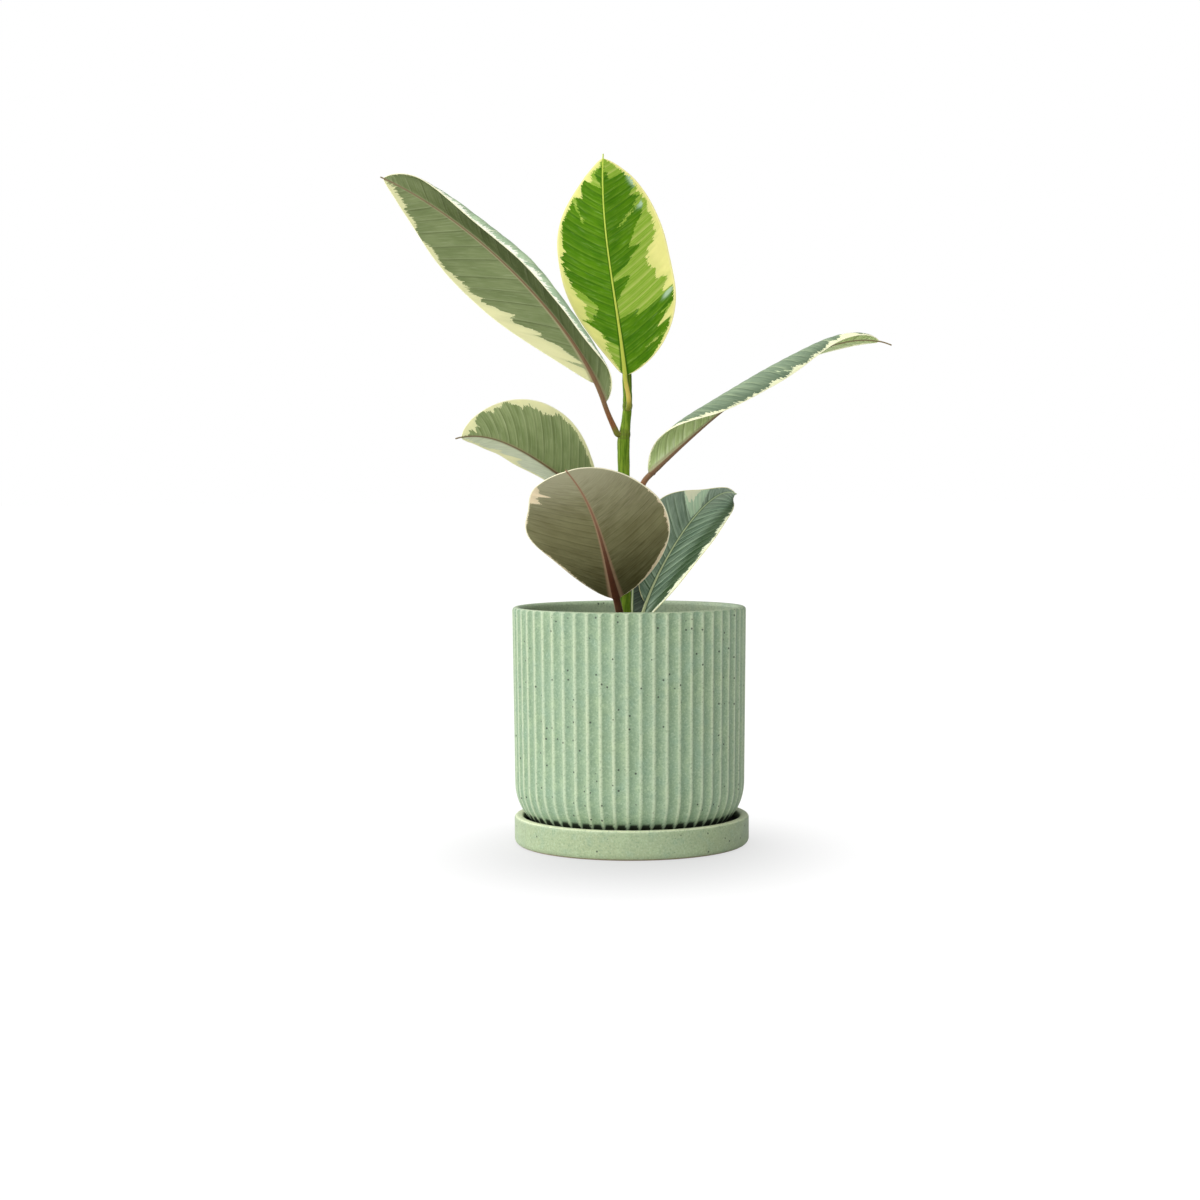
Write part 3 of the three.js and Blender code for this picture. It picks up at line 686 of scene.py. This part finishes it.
def leaf_material(name, leaf, look, marks):
    """A leaf's finish: green tissue with a darker middle, cream outside it, side veins and rib, and the
    painted light and shade that its attributes and finish set.
    """
    material, tree, shader = new_material(name)
    vein, tissue, rib = (tree.read(key) for key in ("vein", "tissue", "rib"))
    taken = {"Vein": vein, "Tissue": tissue, "Tooth": look["tooth"], "Spacing": leaf["swell"][1]}
    marks_of = tree.add("Group", taken, node_tree=marks)
    grain = marks_of["Grain"]
    upper_share = tree.step(tree.split(vein)[2], -0.4, 0.4)
    inside_green, _, margin = tree.split(tissue)
    ratio, share, painted_light = tree.split(rib)

    def on_face(under, upper, power=1.0):
        """A colour on the under and the upper face, each brighter by its gain to a power."""
        # Each leaf's gain is partly its own green and partly painted light and shade, a brighter or darker
        # copy of its finish for how much light reaches it
        gains = (gain ** power for gain in leaf["gain"])
        return tree.mix(upper_share, *(linear(*pair) for pair in zip((under, upper), gains)))

    dark, mid, pale, painted_sheen, deep = (on_face(*pair) for pair in zip(look["under"], look["upper"]))
    cream = on_face(*look["cream"], power=0.5)
    crease, crest = look["creases"]
    colour = tree.mix(tree.step(marks_of["Mottle"], 0.3, 0.7, 0.15, 0.85), dark, mid)
    colour = tree.tint(colour, pale, grain, 0.5, 0.75, 0.25 * look["grain"])
    colour = tree.tint(colour, deep, grain, 0.5, 0.25, 0.3 * look["grain"])
    # Painted shade below the side veins and painted light above them
    colour = tree.mix(tree.times(marks_of["Crease"], crease), colour, deep)
    colour = tree.mix(tree.times(marks_of["Crest"], crest), colour, pale)
    # Painted light and shade: sheen where positive, deeper shade where negative, made uneven by the grain
    painted_light = tree.math("MULTIPLY_ADD", tree.minus(grain, 0.5), 0.8, painted_light)
    colour = tree.tint(colour, painted_sheen, painted_light, 0.0, 1.0, 0.8)
    colour = tree.tint(colour, deep, painted_light, 0.0, -1.0, 0.8)
    light = tree.tint(pale, mid, grain, 0.3, 0.7, 0.35)
    # Painted light above the side veins in the pale tissue too
    light = tree.mix(tree.times(marks_of["Crest"], 0.3), light, cream)
    colour = tree.mix(marks_of["Dark"], light, colour)
    warm = tree.tint(cream, pale, inside_green, -7.0, 0.0, 0.22)
    warm = tree.tint(warm, cream, grain, 0.4, 0.8, 0.3)
    colour = tree.mix(marks_of["Green"], warm, colour)
    colour = tree.tint(colour, linear(look["margin"]), margin, look["border"], look["border"] - 0.3)
    stalk, base, tip = (linear(value) for value in look["rib"])
    rib_colour = tree.tint(stalk, base, share, -0.5, 0.1)
    rib_colour = tree.tint(rib_colour, tip, share, 0.1, 0.8)
    rib_colour = tree.tint(rib_colour, linear(SEAT_GREEN), share, -0.7, -1.0, 0.7)
    # Painted shade beside the rib on the bright finish; the other finishes give the rib's edge its colour
    flank = tree.times(tree.step(ratio, 2.6, 1.4), tree.step(share, 1.0, 0.6, 0.1, 0.8))
    colour = tree.mix(flank, colour, linear(look["flank"]))
    colour = tree.tint(colour, rib_colour, ratio, 1.15, 0.75)
    roughness = tree.step(grain, 0.2, 0.8, look["roughness"] - 0.06, look["roughness"] + 0.08)
    finish_surface(tree, shader, colour, roughness, marks_of["Height"], 0.2, look["specular"])
    return material


def glaze_group():
    """A speckled glaze: slow colour mottling, fine pitting and sparse dark spots of iron."""
    group, tree, taken, given = new_group(
        "glaze",
        {"Place": "Vector", "Pale": "Float", "Uneven": "Float",
         "Deep colour": "Color", "Pale colour": "Color"},
        {"Colour": "Color", "Roughness": "Float", "Height": "Float"},
    )
    place, uneven = taken["Place"], taken["Uneven"]
    broad = tree.noise(place, 34.0)
    middling = tree.noise(place, 130.0)
    small = tree.noise(place, 420.0, 3.0, 0.6)
    fine = tree.noise(place, 800.0, 2.0, 0.6)
    pale = tree.math("MULTIPLY_ADD", tree.minus(small, 0.5), uneven, taken["Pale"])
    colour = tree.mix(tree.step(pale, 0.0, 1.0), taken["Deep colour"], taken["Pale colour"])
    bluish = tree.times(tree.step(broad, 0.35, 0.7), tree.times(uneven, 0.7))
    colour = tree.mix(bluish, colour, linear((144, 172, 148)))
    for value, start, end, most, other in (
        (middling, 0.5, 0.75, 0.32, (168, 190, 146)),
        (middling, 0.5, 0.25, 0.28, (128, 160, 138)),
        (taken["Pale"], 0.85, 1.0, 0.4, (208, 202, 168)),
        (fine, 0.5, 0.75, 0.45, (96, 126, 100)),
        (fine, 0.5, 0.28, 0.2, (206, 224, 194)),
    ):
        colour = tree.tint(colour, linear(other), value, start, end, most)
    spot = tree.specks(place, 290.0, 0, 0.15, 0.25, 0.14)
    dot = tree.specks(place, 620.0, 1, 0.16, 0.28, 0.12)
    colour = tree.mix(tree.times(dot, 0.35), colour, linear((84, 116, 96)))
    colour = tree.mix(tree.times(spot, 0.85), colour, linear((40, 50, 38)))
    tree.feed(given, {
        "Colour": colour,
        "Roughness": tree.step(small, 0.2, 0.8, 0.4, 0.54),
        "Height": tree.minus(small, tree.times(spot, 0.8)),
    })
    return group


def glazed(name, group, uneven, deep, pale):
    """A glazed material whose pale share is the first number of the piece's glaze attribute. The
    second is the share of bare brownish clay and the third that of the shade painted dark in the gap."""
    material, tree, shader = new_material(name)
    pale_share, foot, painted_shade = tree.split(tree.read("glaze"))
    glaze = tree.add("Group", {
        "Place": tree.object_place(), "Pale": pale_share, "Uneven": uneven,
        "Deep colour": linear(deep), "Pale colour": linear(pale),
    }, node_tree=group)
    colour = tree.mix(foot, glaze["Colour"], linear((150, 122, 88)))
    # Painted shade: near black in the gap between the pot and the saucer, as much as the glaze's third number
    # says
    colour = tree.mix(painted_shade, colour, linear((24, 31, 18)))
    finish_surface(tree, shader, colour, glaze["Roughness"], glaze["Height"], 0.08)
    return material


def soil_material():
    """Dark potting soil: brown and black crumbs with a few pale grains."""
    material, tree, shader = new_material("soil")
    place = tree.object_place()
    broad = tree.noise(place, 60.0, 3.0)
    small = tree.noise(place, 500.0, 4.0, 0.7)
    colour = tree.tint(linear((26, 20, 16)), linear((78, 58, 42)), small, 0.3, 0.75)
    colour = tree.tint(colour, linear((50, 36, 26)), broad, 0.5, 0.8, 0.5)
    grain = tree.specks(place, 260.0, 0, 0.05, 0.3, 0.2)
    colour = tree.mix(grain, colour, linear((196, 188, 172)))
    finish_surface(tree, shader, colour, tree.step(small, 0.2, 0.8, 0.85, 1.0), small, 0.8)
    return material


def stem_material():
    """Green bark with fine lengthwise streaks, browner at the nodes."""
    material, tree, shader = new_material("stem")
    place = tree.object_place()
    node_share = tree.split(tree.read("bark"))[0]
    streak = tree.noise(tree.scaled(place, (900.0, 900.0, 60.0)), 1.0, 3.0, 0.6)
    broad = tree.noise(place, 90.0)
    colour = tree.tint(linear((72, 108, 10)), linear((128, 156, 44)), streak, 0.3, 0.7)
    colour = tree.tint(colour, linear((96, 96, 34)), broad, 0.5, 0.8, 0.35)
    colour = tree.mix(tree.times(node_share, 0.6), colour, linear((96, 96, 40)))
    finish_surface(tree, shader, colour, tree.step(streak, 0.2, 0.8, 0.42, 0.58), streak, 0.15, 0.12)
    return material


def bud_material():
    """A red-brown sheath with fine lengthwise lines, greener at its foot."""
    material, tree, shader = new_material("bud")
    place = tree.object_place()
    lines = tree.noise(tree.scaled(place, (1400.0, 1400.0, 40.0)))
    height = tree.split(place)[2]
    colour = tree.tint(linear((120, 116, 52)), linear((172, 84, 60)), height, *BUD.green_ends)
    colour = tree.tint(colour, linear((204, 132, 98)), lines, 0.35, 0.7, 0.5)
    finish_surface(tree, shader, colour, tree.step(lines, 0.2, 0.8, 0.32, 0.46), lines, 0.08)
    return material


def build_saucer(material):
    """A profile of arcs turned about the saucer's axis: foot, wall, rounded lip and inside."""
    outer, foot, lip_round = SAUCER.outer_radius, SAUCER.foot_round, SAUCER.lip_round
    floor, well = SAUCER.floor, SAUCER.inside_round
    inside = outer - SAUCER.wall
    lip = SAUCER.height - lip_round
    profile = np.concatenate([
        np.linspace((2, 0), (outer - foot - 0.5, 0), 12),
        quarter(outer - foot, foot, foot, -90, 0, 12),
        np.linspace((outer, foot + 1.2), (outer, lip - 1.2), 8),
        quarter(outer - lip_round, lip, lip_round, 0, 90, 9),
        quarter(inside + lip_round, lip, lip_round, 90, 180, 9),
        np.linspace((inside, lip - 1.5), (inside, floor + well + 1), 4),
        quarter(inside - well, floor + well, well, 0, -90, 9),
        np.linspace((inside - well - 1, floor), (2, floor), 12),
    ])
    rings = rings_of(profile[:, :1], profile[:, 1:], circle(SAUCER.around), SAUCER.off_centre)
    radius, height = profile.T
    lip_share = ease((height - lip - 0.9) / 0.8) * (radius > inside + 0.5)
    foot_share = ease((1.3 - height) / 0.8)
    # Painted shade: the saucer's well below the lip, inside the wall, is painted dark
    painted_shade = ease((lip - 1.0 - height) / 1.5) * (radius < inside + 0.1) * (height > 1)
    pale = blend_of(SAUCER.pale, SAUCER.pale_lip, lip_share)
    glaze = np.stack([pale, foot_share, SAUCER.painted_shade * painted_shade], -1)
    make_piece("saucer", rings, material, {"glaze": np.broadcast_to(glaze[:, None], rings.shape)})


def build_pot(material):
    """The pot's outside is the smaller of two radii: the fluted wall, which is a rounded scallop
    between narrow ridges, and the rounded edge of the rim. So each flute ends in an arch under it."""
    p = POT
    inside_radius = p.rim_radius - p.wall
    inside_floor = p.bottom + p.floor
    inside_corner = p.corner_round - p.wall
    corner_top = p.bottom + p.corner_round
    rim_start = p.rim_height - p.rim_round

    def wall_at(height):
        return p.rim_radius - p.foot_taper * (1 - height / p.rim_height)

    angle = circle(p.flutes * p.columns_per_flute)
    phase = ((angle - math.radians(p.flute_turn)) * p.flutes / (2 * np.pi)) % 1
    scallop = p.flute_depth * (1 - (2 * phase - 1) ** 2)
    scallop = np.sqrt(scallop ** 2 + p.ridge_round ** 2) - p.ridge_round

    corner = quarter(wall_at(corner_top) - p.corner_round, corner_top, p.corner_round, -90, 0, 30)
    foot_radius = corner[0, 0]
    flat = np.linspace((p.drain_radius + 0.5, p.bottom), (foot_radius - 1, p.bottom), 6)
    wall_height = np.concatenate([
        np.linspace(corner_top + 4, p.rim_height - 5, 16),
        np.linspace(p.rim_height - 4.2, rim_start, 8),
    ])
    wall = np.stack([wall_at(wall_height), wall_height], -1)
    rim = quarter(p.rim_radius - p.rim_round, rim_start, p.rim_round, 5, 90, 14)
    outside = np.concatenate([flat, corner, wall, rim])
    plain, height = outside[:, :1], outside[:, 1:]
    at_foot = height < corner_top
    fluted = np.concatenate([
        np.zeros(len(flat)), ease(np.linspace(0, 1.6, 30) - 0.3), np.ones(len(wall) + len(rim)),
    ])[:, None]
    flute_wall = np.where(at_foot, plain, wall_at(height))
    inward = np.where(at_foot, np.maximum(plain - foot_radius, 0) / p.corner_round, 1)
    flute_radius = flute_wall - fluted * inward * scallop
    gap = np.clip(0.5 + 0.5 * (plain - flute_radius) / p.arch_round, 0, 1)
    radius = blend_of(plain, flute_radius, gap) - p.arch_round * gap * (1 - gap)

    inner_corner = quarter(inside_radius - inside_corner, inside_floor + inside_corner,
                           inside_corner, 0, -90, 10)
    inside = np.concatenate([
        quarter(inside_radius + p.rim_round, rim_start, p.rim_round, 90, 180, 10)[1:],
        np.linspace((inside_radius, rim_start - 1), (inside_radius, inside_floor + inside_corner + 2), 14),
        inner_corner,
        np.linspace((inner_corner[-1, 0] - 2, inside_floor), (p.drain_radius + 0.5, inside_floor), 5),
        [(p.drain_radius, inside_floor - 0.5), (p.drain_radius, p.bottom + 0.5)],
    ])
    radius = np.concatenate([radius, np.broadcast_to(inside[:, :1], (len(inside), len(angle)))])
    rings = rings_of(radius, np.concatenate([height, inside[:, 1:]]), angle)

    crest = 1 - ease(np.minimum(phase, 1 - phase) / p.pale_share)
    # Painted light: a pale ramp over each flute that rises towards the next ridge, as if lit from one side,
    # on top of the glaze's pale ridge
    ridge_and_painted_light = np.maximum(crest, p.painted_light_share * ease(phase / 0.75 - 0.33))
    # Painted shade: dark at the pot's foot up to just above the saucer's lip, lower on each ridge
    painted_shade = p.painted_shade * ease((p.painted_shade_height - height - p.painted_shade_dip * crest) / p.painted_shade_fade)
    glaze = np.zeros(rings.shape)
    glaze[:len(outside), :, 0] = blend_of(p.pale_rim, ridge_and_painted_light * fluted, gap)
    glaze[len(outside):, :, 0] = p.pale_inside
    glaze[:len(outside), :, 2] = painted_shade
    make_piece("pot", rings, material, {"glaze": glaze}, loop=True)


def build_soil(material):
    """Rings from the hole under the stem out over the surface, lifted by noise of several sizes,
    then down inside the pot's wall and in under its rounded foot."""
    s = SOIL
    angle = circle(s.around)
    stem_x = np.interp(s.middle_height, *STEM.T[:2])
    radii = np.concatenate([np.linspace(s.hole_radius, s.radius - 0.6, 76), [s.radius - 0.2]])[:, None]
    share = (radii - radii[0]) / (s.radius - radii[0])
    slope = blend_of(s.middle_height, s.edge_height, share)
    top = rings_of(radii, slope - 1.0, angle, stem_x * (1 - share))
    lumps = sum(strength * lattice_noise(top[..., :2], size, seed) for strength, size, seed in s.lumps)
    top[..., 2] += s.relief * lumps * ease(share * 30)
    inside = POT.corner_round - POT.wall
    foot = POT.bottom + POT.floor
    corner = quarter(s.radius - inside + 0.3, foot + inside, inside - 0.3, 0, -90, 10)
    wall = np.linspace((s.radius, s.edge_height - 3), (s.radius, foot + inside + 3), 6)
    under = np.concatenate([wall, corner, [(3.0, corner[-1, 1])]])
    hole = rings_of(np.array([[0.8], [s.hole_radius]]), s.middle_height - s.hole_depth, angle, stem_x)
    rings = np.concatenate([hole, top, rings_of(under[:, :1], under[:, 1:], angle)])
    make_piece("soil", rings, material)


def build_stem(material):
    """A round stem along its stations, swollen a little at each node, with a fine uneven skin."""
    height = np.linspace(STEM[0, 0], STEM[-1, 0], 300)
    window = 9
    centre, radius = (
        np.convolve(np.pad(np.interp(height, STEM[:, 0], STEM[:, column]), window // 2, mode="edge"),
                    np.ones(window) / window, "valid")
        for column in (1, 2)
    )
    off_node = np.abs(height[:, None] - np.array(NODES.heights)).min(1)
    node = np.exp(-(off_node / NODES.reach) ** 2)
    groove = np.exp(-((off_node - NODES.groove_at) / NODES.groove_reach) ** 2)
    angle = circle(56)
    wobble = 0.12 * lattice_noise(np.stack(np.meshgrid(height, np.cos(angle) * 4, indexing="ij"), -1), 3.0, 8)
    spread = (radius + NODES.swell * node - NODES.groove * groove)[:, None] + wobble - 0.1
    rings = rings_of(spread, height[:, None], angle, centre[:, None])
    bark = np.broadcast_to(np.maximum(node, groove)[:, None, None], rings.shape)
    make_piece("stem", rings, material, {"bark": bark})


def build_bud(material):
    """A pointed sheath round an axis that leans to the back, with one overlapping edge that winds
    up it as a small step in the radius."""
    height, x, _ = STEM[-1]
    share = np.linspace(0, 1, 90)[:, None]
    angle = circle(48)
    radius = blend_of(BUD.tip_radius, BUD.radius, np.sqrt(1 - share) * (0.9 + 0.4 * share))
    wound = (angle / (2 * np.pi) + 0.8 * share) % 1
    z = height + STEM_GAP - 0.3 * (share == 0) + BUD.length * share
    rings = rings_of(radius * (1 - 0.09 * wound), z, angle, x, BUD.lean * share ** 2)
    make_piece("bud", rings, material)


def half_width(half, t):
    """A rounded outline, the sine of the share along it to a power, that ends in a narrow tip."""
    start, end = half["start"], 1 - half["tip"]
    along = np.clip((t - start) / (end - start), 0, 1)
    outline = np.sin(np.pi * along) ** half["blunt"]
    near_tip = np.clip((1 - t) / 0.1, 0, 1) ** 0.8 * np.clip((t - 0.7) / 0.2, 0, 1)
    return along_steps(half["width"], t) * outline + BLADE.tip_half_width * near_tip


def leaf_rows(leaf):
    """Stations from inside the stem, along the stalk and the midrib to the tip. The face looks to
    the front, square to the midrib and rolled by the leaf's turn, and keeps its way down the stalk."""
    height, around, rise = leaf["seat"]
    around, rise = math.radians(around), math.radians(rise)

    def way_at(rise):
        level = np.cos(rise)
        return np.stack([level * math.cos(around), level * math.sin(around), np.sin(rise)], -1)

    stem_x, stem_radius = (np.interp(height, STEM[:, 0], STEM[:, column]) for column in (1, 2))
    end_radius = leaf["stalk"] * (1 + STALK_FLARE)
    clear = stem_radius + STEM_GAP + end_radius * math.sin(rise) + 0.1
    seat = np.array([stem_x + clear * math.cos(around), clear * math.sin(around), height])
    even = np.linspace(0, 1, leaf["rows"])
    t = even - 0.07 * np.sin(2 * np.pi * even)
    at, way, length = cubic(leaf["midrib"], t)
    reach = np.linalg.norm(at[0] - seat) * 0.4
    u = np.linspace(0, 1, 26, endpoint=False)
    stalk_curve = [seat, seat + way_at(rise) * reach, at[0] - way[0] * reach, at[0]]
    stalk_at, stalk_way, stalk_length = cubic(stalk_curve, u)
    heel_way = way_at(rise * np.clip(1 - np.arange(HEEL.steps) / HEEL.bent, 0, 1))
    heel_at = seat - np.cumsum(heel_way * HEEL.step, 0)
    stalk_at = np.concatenate([heel_at[::-1], stalk_at])
    stalk_way = np.concatenate([heel_way[::-1], stalk_way])
    sunk = HEEL.step * np.arange(HEEL.steps, 0, -1)
    from_seat = np.concatenate([-sunk, u * stalk_length])
    flare = STALK_FLARE * (1 - np.concatenate([0 * sunk, u])) ** 2
    front = np.array([0.0, -1.0, 0.0])
    turn = np.radians(along_steps(leaf["turn"], t))[:, None]
    face = unit(front - (way @ front)[:, None] * way)
    face = np.cos(turn) * face + np.sin(turn) * np.cross(way, face)
    stalk_face = unit(face[0] - (stalk_way @ face[0])[:, None] * stalk_way)
    rib = blend_of(BLADE.rib_at_tip, leaf["stalk"], (1 - t) ** leaf["rib_fall"])
    every_way = np.concatenate([stalk_way, way])
    every_face = np.concatenate([stalk_face, face])
    return {
        "at": np.concatenate([stalk_at, at])[:, None],
        "face": every_face[:, None],
        "side": np.cross(every_way, every_face)[:, None],
        "t": np.concatenate([np.zeros(len(from_seat)), t])[:, None],
        "rib": np.concatenate([leaf["stalk"] * (1 + flare), rib])[:, None],
        "share": np.concatenate([from_seat / stalk_length - 1, t])[:, None],
        "length": length,
    }


def edge_at(pairs, lane):
    """The outer edge of some tissue, as a share of the half-width, at each vein's start."""
    starts, shares = (np.array(pairs) / OUTLINE_UNITS).T
    return np.interp(lane, starts, shares)


def streak_depth(streaks, lane, q, length, widest):
    """How deep each point lies in any pale streak, in mm: a streak is a line with round ends."""
    deepest = np.full(lane.shape, -99.0)
    here = np.stack([lane * length, q * widest], -1)
    for start, end, width in streaks:
        a, b = (np.array(place) / OUTLINE_UNITS * (length, widest) for place in (start, end))
        share = np.clip(((here - a) @ (b - a)) / ((b - a) @ (b - a)), 0, 1)
        away = np.linalg.norm(here - a - share[..., None] * (b - a), axis=-1)
        deepest = np.maximum(deepest, width * (0.35 + 0.65 * share) / 2 - away)
    return deepest


def across_half(half, sign, rows, tilt):
    """One half of a blade, from the midrib out to the margin. Its middle surface starts at the tilt
    that both halves share at the rib, eases into the half's own fold and adds its curl. Where the
    half is narrow it closes to a half circle round the stalk."""
    n = half["columns"]
    t, rib, side, face = (rows[key] for key in ("t", "rib", "side", "face"))
    width = np.maximum(half_width(half, t), BLADE.narrowest)
    opened = ease((width / rib - 1) / 1.5) * (t > 0)
    span = np.maximum(width, rib)
    s = np.arange(n + 1)[None] / n
    near_end, far_start = BLADE.rib_columns / n, 1 - BLADE.edge_columns / n
    near = np.minimum(BLADE.rib_strip * rib, 0.35 * span)
    edge = np.minimum(BLADE.edge_strip, 0.3 * span)
    middle_share = np.clip((s - near_end) / (far_start - near_end), 0, 1)
    across = (near * np.clip(s / near_end, 0, 1) + (span - edge - near) * middle_share
              + edge * np.sin(np.pi / 2 * np.clip((s - far_start) / (1 - far_start), 0, 1)))
    target = blend_of(rib * np.sin(np.pi / 2 * s), across, opened) / span
    fold, curl = (along_steps(half[key], t) for key in ("fold", "curl"))

    def angle_at(q):
        whole = fold + curl * np.maximum(q, 0) ** half["late"]
        return np.radians(opened * (tilt + (whole - tilt) * ease(q * span / BLADE.fold_reach)))

    parts = 4
    steps = (np.arange(parts) + 0.5) / parts
    gain = np.diff(target, axis=1)
    q = (target[:, :-1, None] + gain[..., None] * steps).reshape(len(t), -1)
    angle = angle_at(q)
    size = np.repeat(gain / parts, parts, axis=1) * span
    flat, out = (
        np.concatenate([0 * t, np.cumsum(size * shares, 1)], 1)[:, ::parts, None]
        for shares in (np.cos(angle), np.sin(angle))
    )
    angle = angle_at(target)[..., None]
    middle = rows["at"] + sign * flat * side + out * face
    normal = -sign * np.sin(angle) * side + np.cos(angle) * face

    distance = target * span
    share = np.clip(distance / np.maximum(width, 0.01), 0, 1)
    rise, bend = half["veins"]
    lane_mm = t * rows["length"] - rise * distance * (1 + bend * share)
    lane = lane_mm / rows["length"]
    height, spacing = half["swell"]
    uneven = np.sin(lane_mm / (0.43 * spacing) + sign) + np.sin(lane_mm / (0.71 * spacing) + 2 * sign)
    lane_mm = lane_mm + 0.1 * spacing * uneven
    margin = width - distance
    green, dark = (edge_at(half[key], lane) * width - distance for key in ("green", "dark"))
    dark = np.minimum(dark, -streak_depth(half["streaks"], lane, share, rows["length"], width.max()))
    # Painted light and shade along the blade and towards the margin, and soft spots of painted sheen
    painted_light = along_steps(half["painted_light"], t) + half["outer"] * share ** 2
    for at, out, along, across in half["painted_sheen"]:
        painted_light = painted_light + PAINTED_SHEEN * np.exp(-((lane - at) / along) ** 2 - ((share - out) / across) ** 2)

    away = ease((share - 0.04) / 0.25) * ease(margin / 3.0)
    swell = half["pleat"] * height * (np.abs(np.sin(np.pi * lane_mm / spacing)) ** 0.8 - 0.6) * away
    ruffle = half["ruffle"] * np.sin(2 * np.pi * (3.3 * t + 0.2 * sign)) * ease(share) ** 2
    lift = half["upper"] * swell + ruffle * np.sin(np.pi * t)
    middle = middle + (lift * opened)[..., None] * normal

    thin = blend_of(BLADE.thickness, BLADE.margin_thickness, share) / 2
    round_off = np.sqrt(np.clip(1 - (1 - np.clip(margin / edge, 0, 1)) ** 2, 0, 1))
    bell = (1 - np.clip(distance / (BLADE.rib_spread * rib), 0, 1) ** 2) ** 2
    ribbed = thin * round_off + np.maximum(rib - thin, 0) * bell
    grooved = (thin - 0.3 * np.minimum(rib, 1.0) * thin * bell) * round_off
    front, back = (
        blend_of(rib * np.cos(np.pi / 2 * s), depth, opened)[..., None] * normal
        for depth in (ribbed, grooved)[::-half["upper"]]
    )
    ones = np.ones(lane.shape)
    return {
        "front": middle + front,
        "back": middle - back,
        "vein": np.stack([lane_mm, sign * distance, ones], -1),
        "tissue": np.stack([green, dark, margin], -1),
        "rib": np.stack([distance / rib, rows["share"] * ones, painted_light], -1),
    }


def round_leaf(left, right, front_key, back_key):
    """Columns from the left margin over the front to the right margin and back behind."""
    front = np.concatenate([left[front_key][:, :0:-1], right[front_key]], 1)
    back = np.concatenate([right[back_key][:, -2::-1], left[back_key][:, 1:-1]], 1)
    return np.concatenate([front, back], 1)


def build_leaf(name, leaf, material):
    """Both halves of a leaf, front and back, wrapped into one closed skin with its stalk."""
    rows = leaf_rows(leaf)
    folds = [along_steps(leaf[key]["fold"], rows["t"]) for key in ("left", "right")]
    tilt = (folds[1] - folds[0]) / 2
    left = across_half({**leaf, **leaf["left"]}, -1, rows, -tilt)
    right = across_half({**leaf, **leaf["right"]}, 1, rows, tilt)
    values = {key: round_leaf(left, right, key, key) for key in ("vein", "tissue", "rib")}
    last_front = 2 * leaf["columns"]
    column = np.arange(values["vein"].shape[1])
    front_share = np.where(column <= last_front, 1.0, -1.0) * ~np.isin(column, (0, last_front))
    values["vein"][..., 2] = front_share * leaf["upper"]
    make_piece(name, round_leaf(left, right, "front", "back"), material, values)


def place_camera():
    """The camera of the photograph: level distance, height and three turns."""
    down, left, roll = (math.radians(angle) for angle in (CAMERA.down, CAMERA.left, CAMERA.roll))
    ahead = Vector((-math.sin(left) * math.cos(down), math.cos(left) * math.cos(down), -math.sin(down)))
    level = Vector((math.cos(left), math.sin(left), 0))
    upright = level.cross(ahead)
    across = math.cos(roll) * level + math.sin(roll) * upright
    above = math.cos(roll) * upright - math.sin(roll) * level
    turn = Matrix((across, above, -ahead)).transposed().to_4x4()
    camera_data = bpy.data.cameras.new("camera")
    camera_data.lens = CAMERA.lens
    camera_data.sensor_width = 36
    camera_data.clip_end = 100
    camera = bpy.data.objects.new("camera", camera_data)
    camera.matrix_world = Matrix.Translation((0, -CAMERA.distance * MM, CAMERA.height * MM)) @ turn
    bpy.context.scene.collection.objects.link(camera)
    bpy.context.scene.camera = camera


def place_floor():
    """A wide plain floor that shows white but for a soft shade round the saucer."""
    half = FLOOR.half_width
    mesh = bpy.data.meshes.new("floor")
    corners = [(-half, -half, 0), (half, -half, 0), (half, half, 0), (-half, half, 0)]
    mesh.from_pydata(corners, [], [(0, 1, 2, 3)])
    material, tree, shader = new_material("floor")
    seen = tree.seen()
    place = tree.scaled(tree.object_place(), (1.0, 1 / FLOOR.stretch, 1.0), (0.0, -FLOOR.centre * MM, 0.0))
    away = tree.add("VectorMath", {0: place}, operation="LENGTH")["Value"]
    open_floor = tree.step(away, FLOOR.shade_from * MM, FLOOR.shade_to * MM, FLOOR.shaded, FLOOR.open)
    tree.feed(shader, {
        "Base Color": tree.mix(seen, (0.8, 0.8, 0.8, 1), (0.14, 0.14, 0.14, 1)),
        "Emission Color": tree.mix(seen, (0, 0, 0, 1), tree.join(open_floor, open_floor, open_floor)),
        "Emission Strength": 1.0, "Roughness": 1.0, "Specular IOR Level": 0.0,
    })
    mesh.materials.append(material)
    floor = bpy.data.objects.new("floor", mesh)
    bpy.context.scene.collection.objects.link(floor)


def place_light():
    """A dome of soft light, strongest from the upper left and front, white to the camera."""
    world = bpy.data.worlds.new("studio")
    bpy.context.scene.world = world
    world.use_nodes = True
    tree = Tree(world.node_tree)
    direction = tree.add("TexCoord")["Generated"]
    key = tuple(Vector(LIGHT.toward).normalized())
    toward = tree.add("VectorMath", {0: direction, 1: key}, operation="DOT_PRODUCT")["Value"]
    light = tree.step(toward, LIGHT.dim_at, 1.0, LIGHT.dimmest, LIGHT.brightest)
    strength = tree.add("Mix", {0: tree.seen(), 2: light, 3: 1.0}, data_type="FLOAT")[0]
    tree.feed(world.node_tree.nodes["Background"].inputs, {"Strength": strength, "Color": (1, 1, 1, 1)})
    bpy.context.scene.view_settings.view_transform = "Standard"


place_camera()
place_floor()
place_light()

glaze = glaze_group()
build_saucer(glazed("saucer glaze", glaze, 0.2, (142, 158, 120), (216, 224, 186)))
build_pot(glazed("pot glaze", glaze, 0.3, (127, 152, 119), (186, 200, 166)))
build_soil(soil_material())
build_stem(stem_material())
build_bud(bud_material())

marks = leaf_marks_group()
for name, leaf in LEAVES.items():
    leaf = {**USUAL_LEAF, **leaf}
    look = FINISHES[leaf["finish"]]
    build_leaf(name, leaf, leaf_material(name, leaf, look, marks))
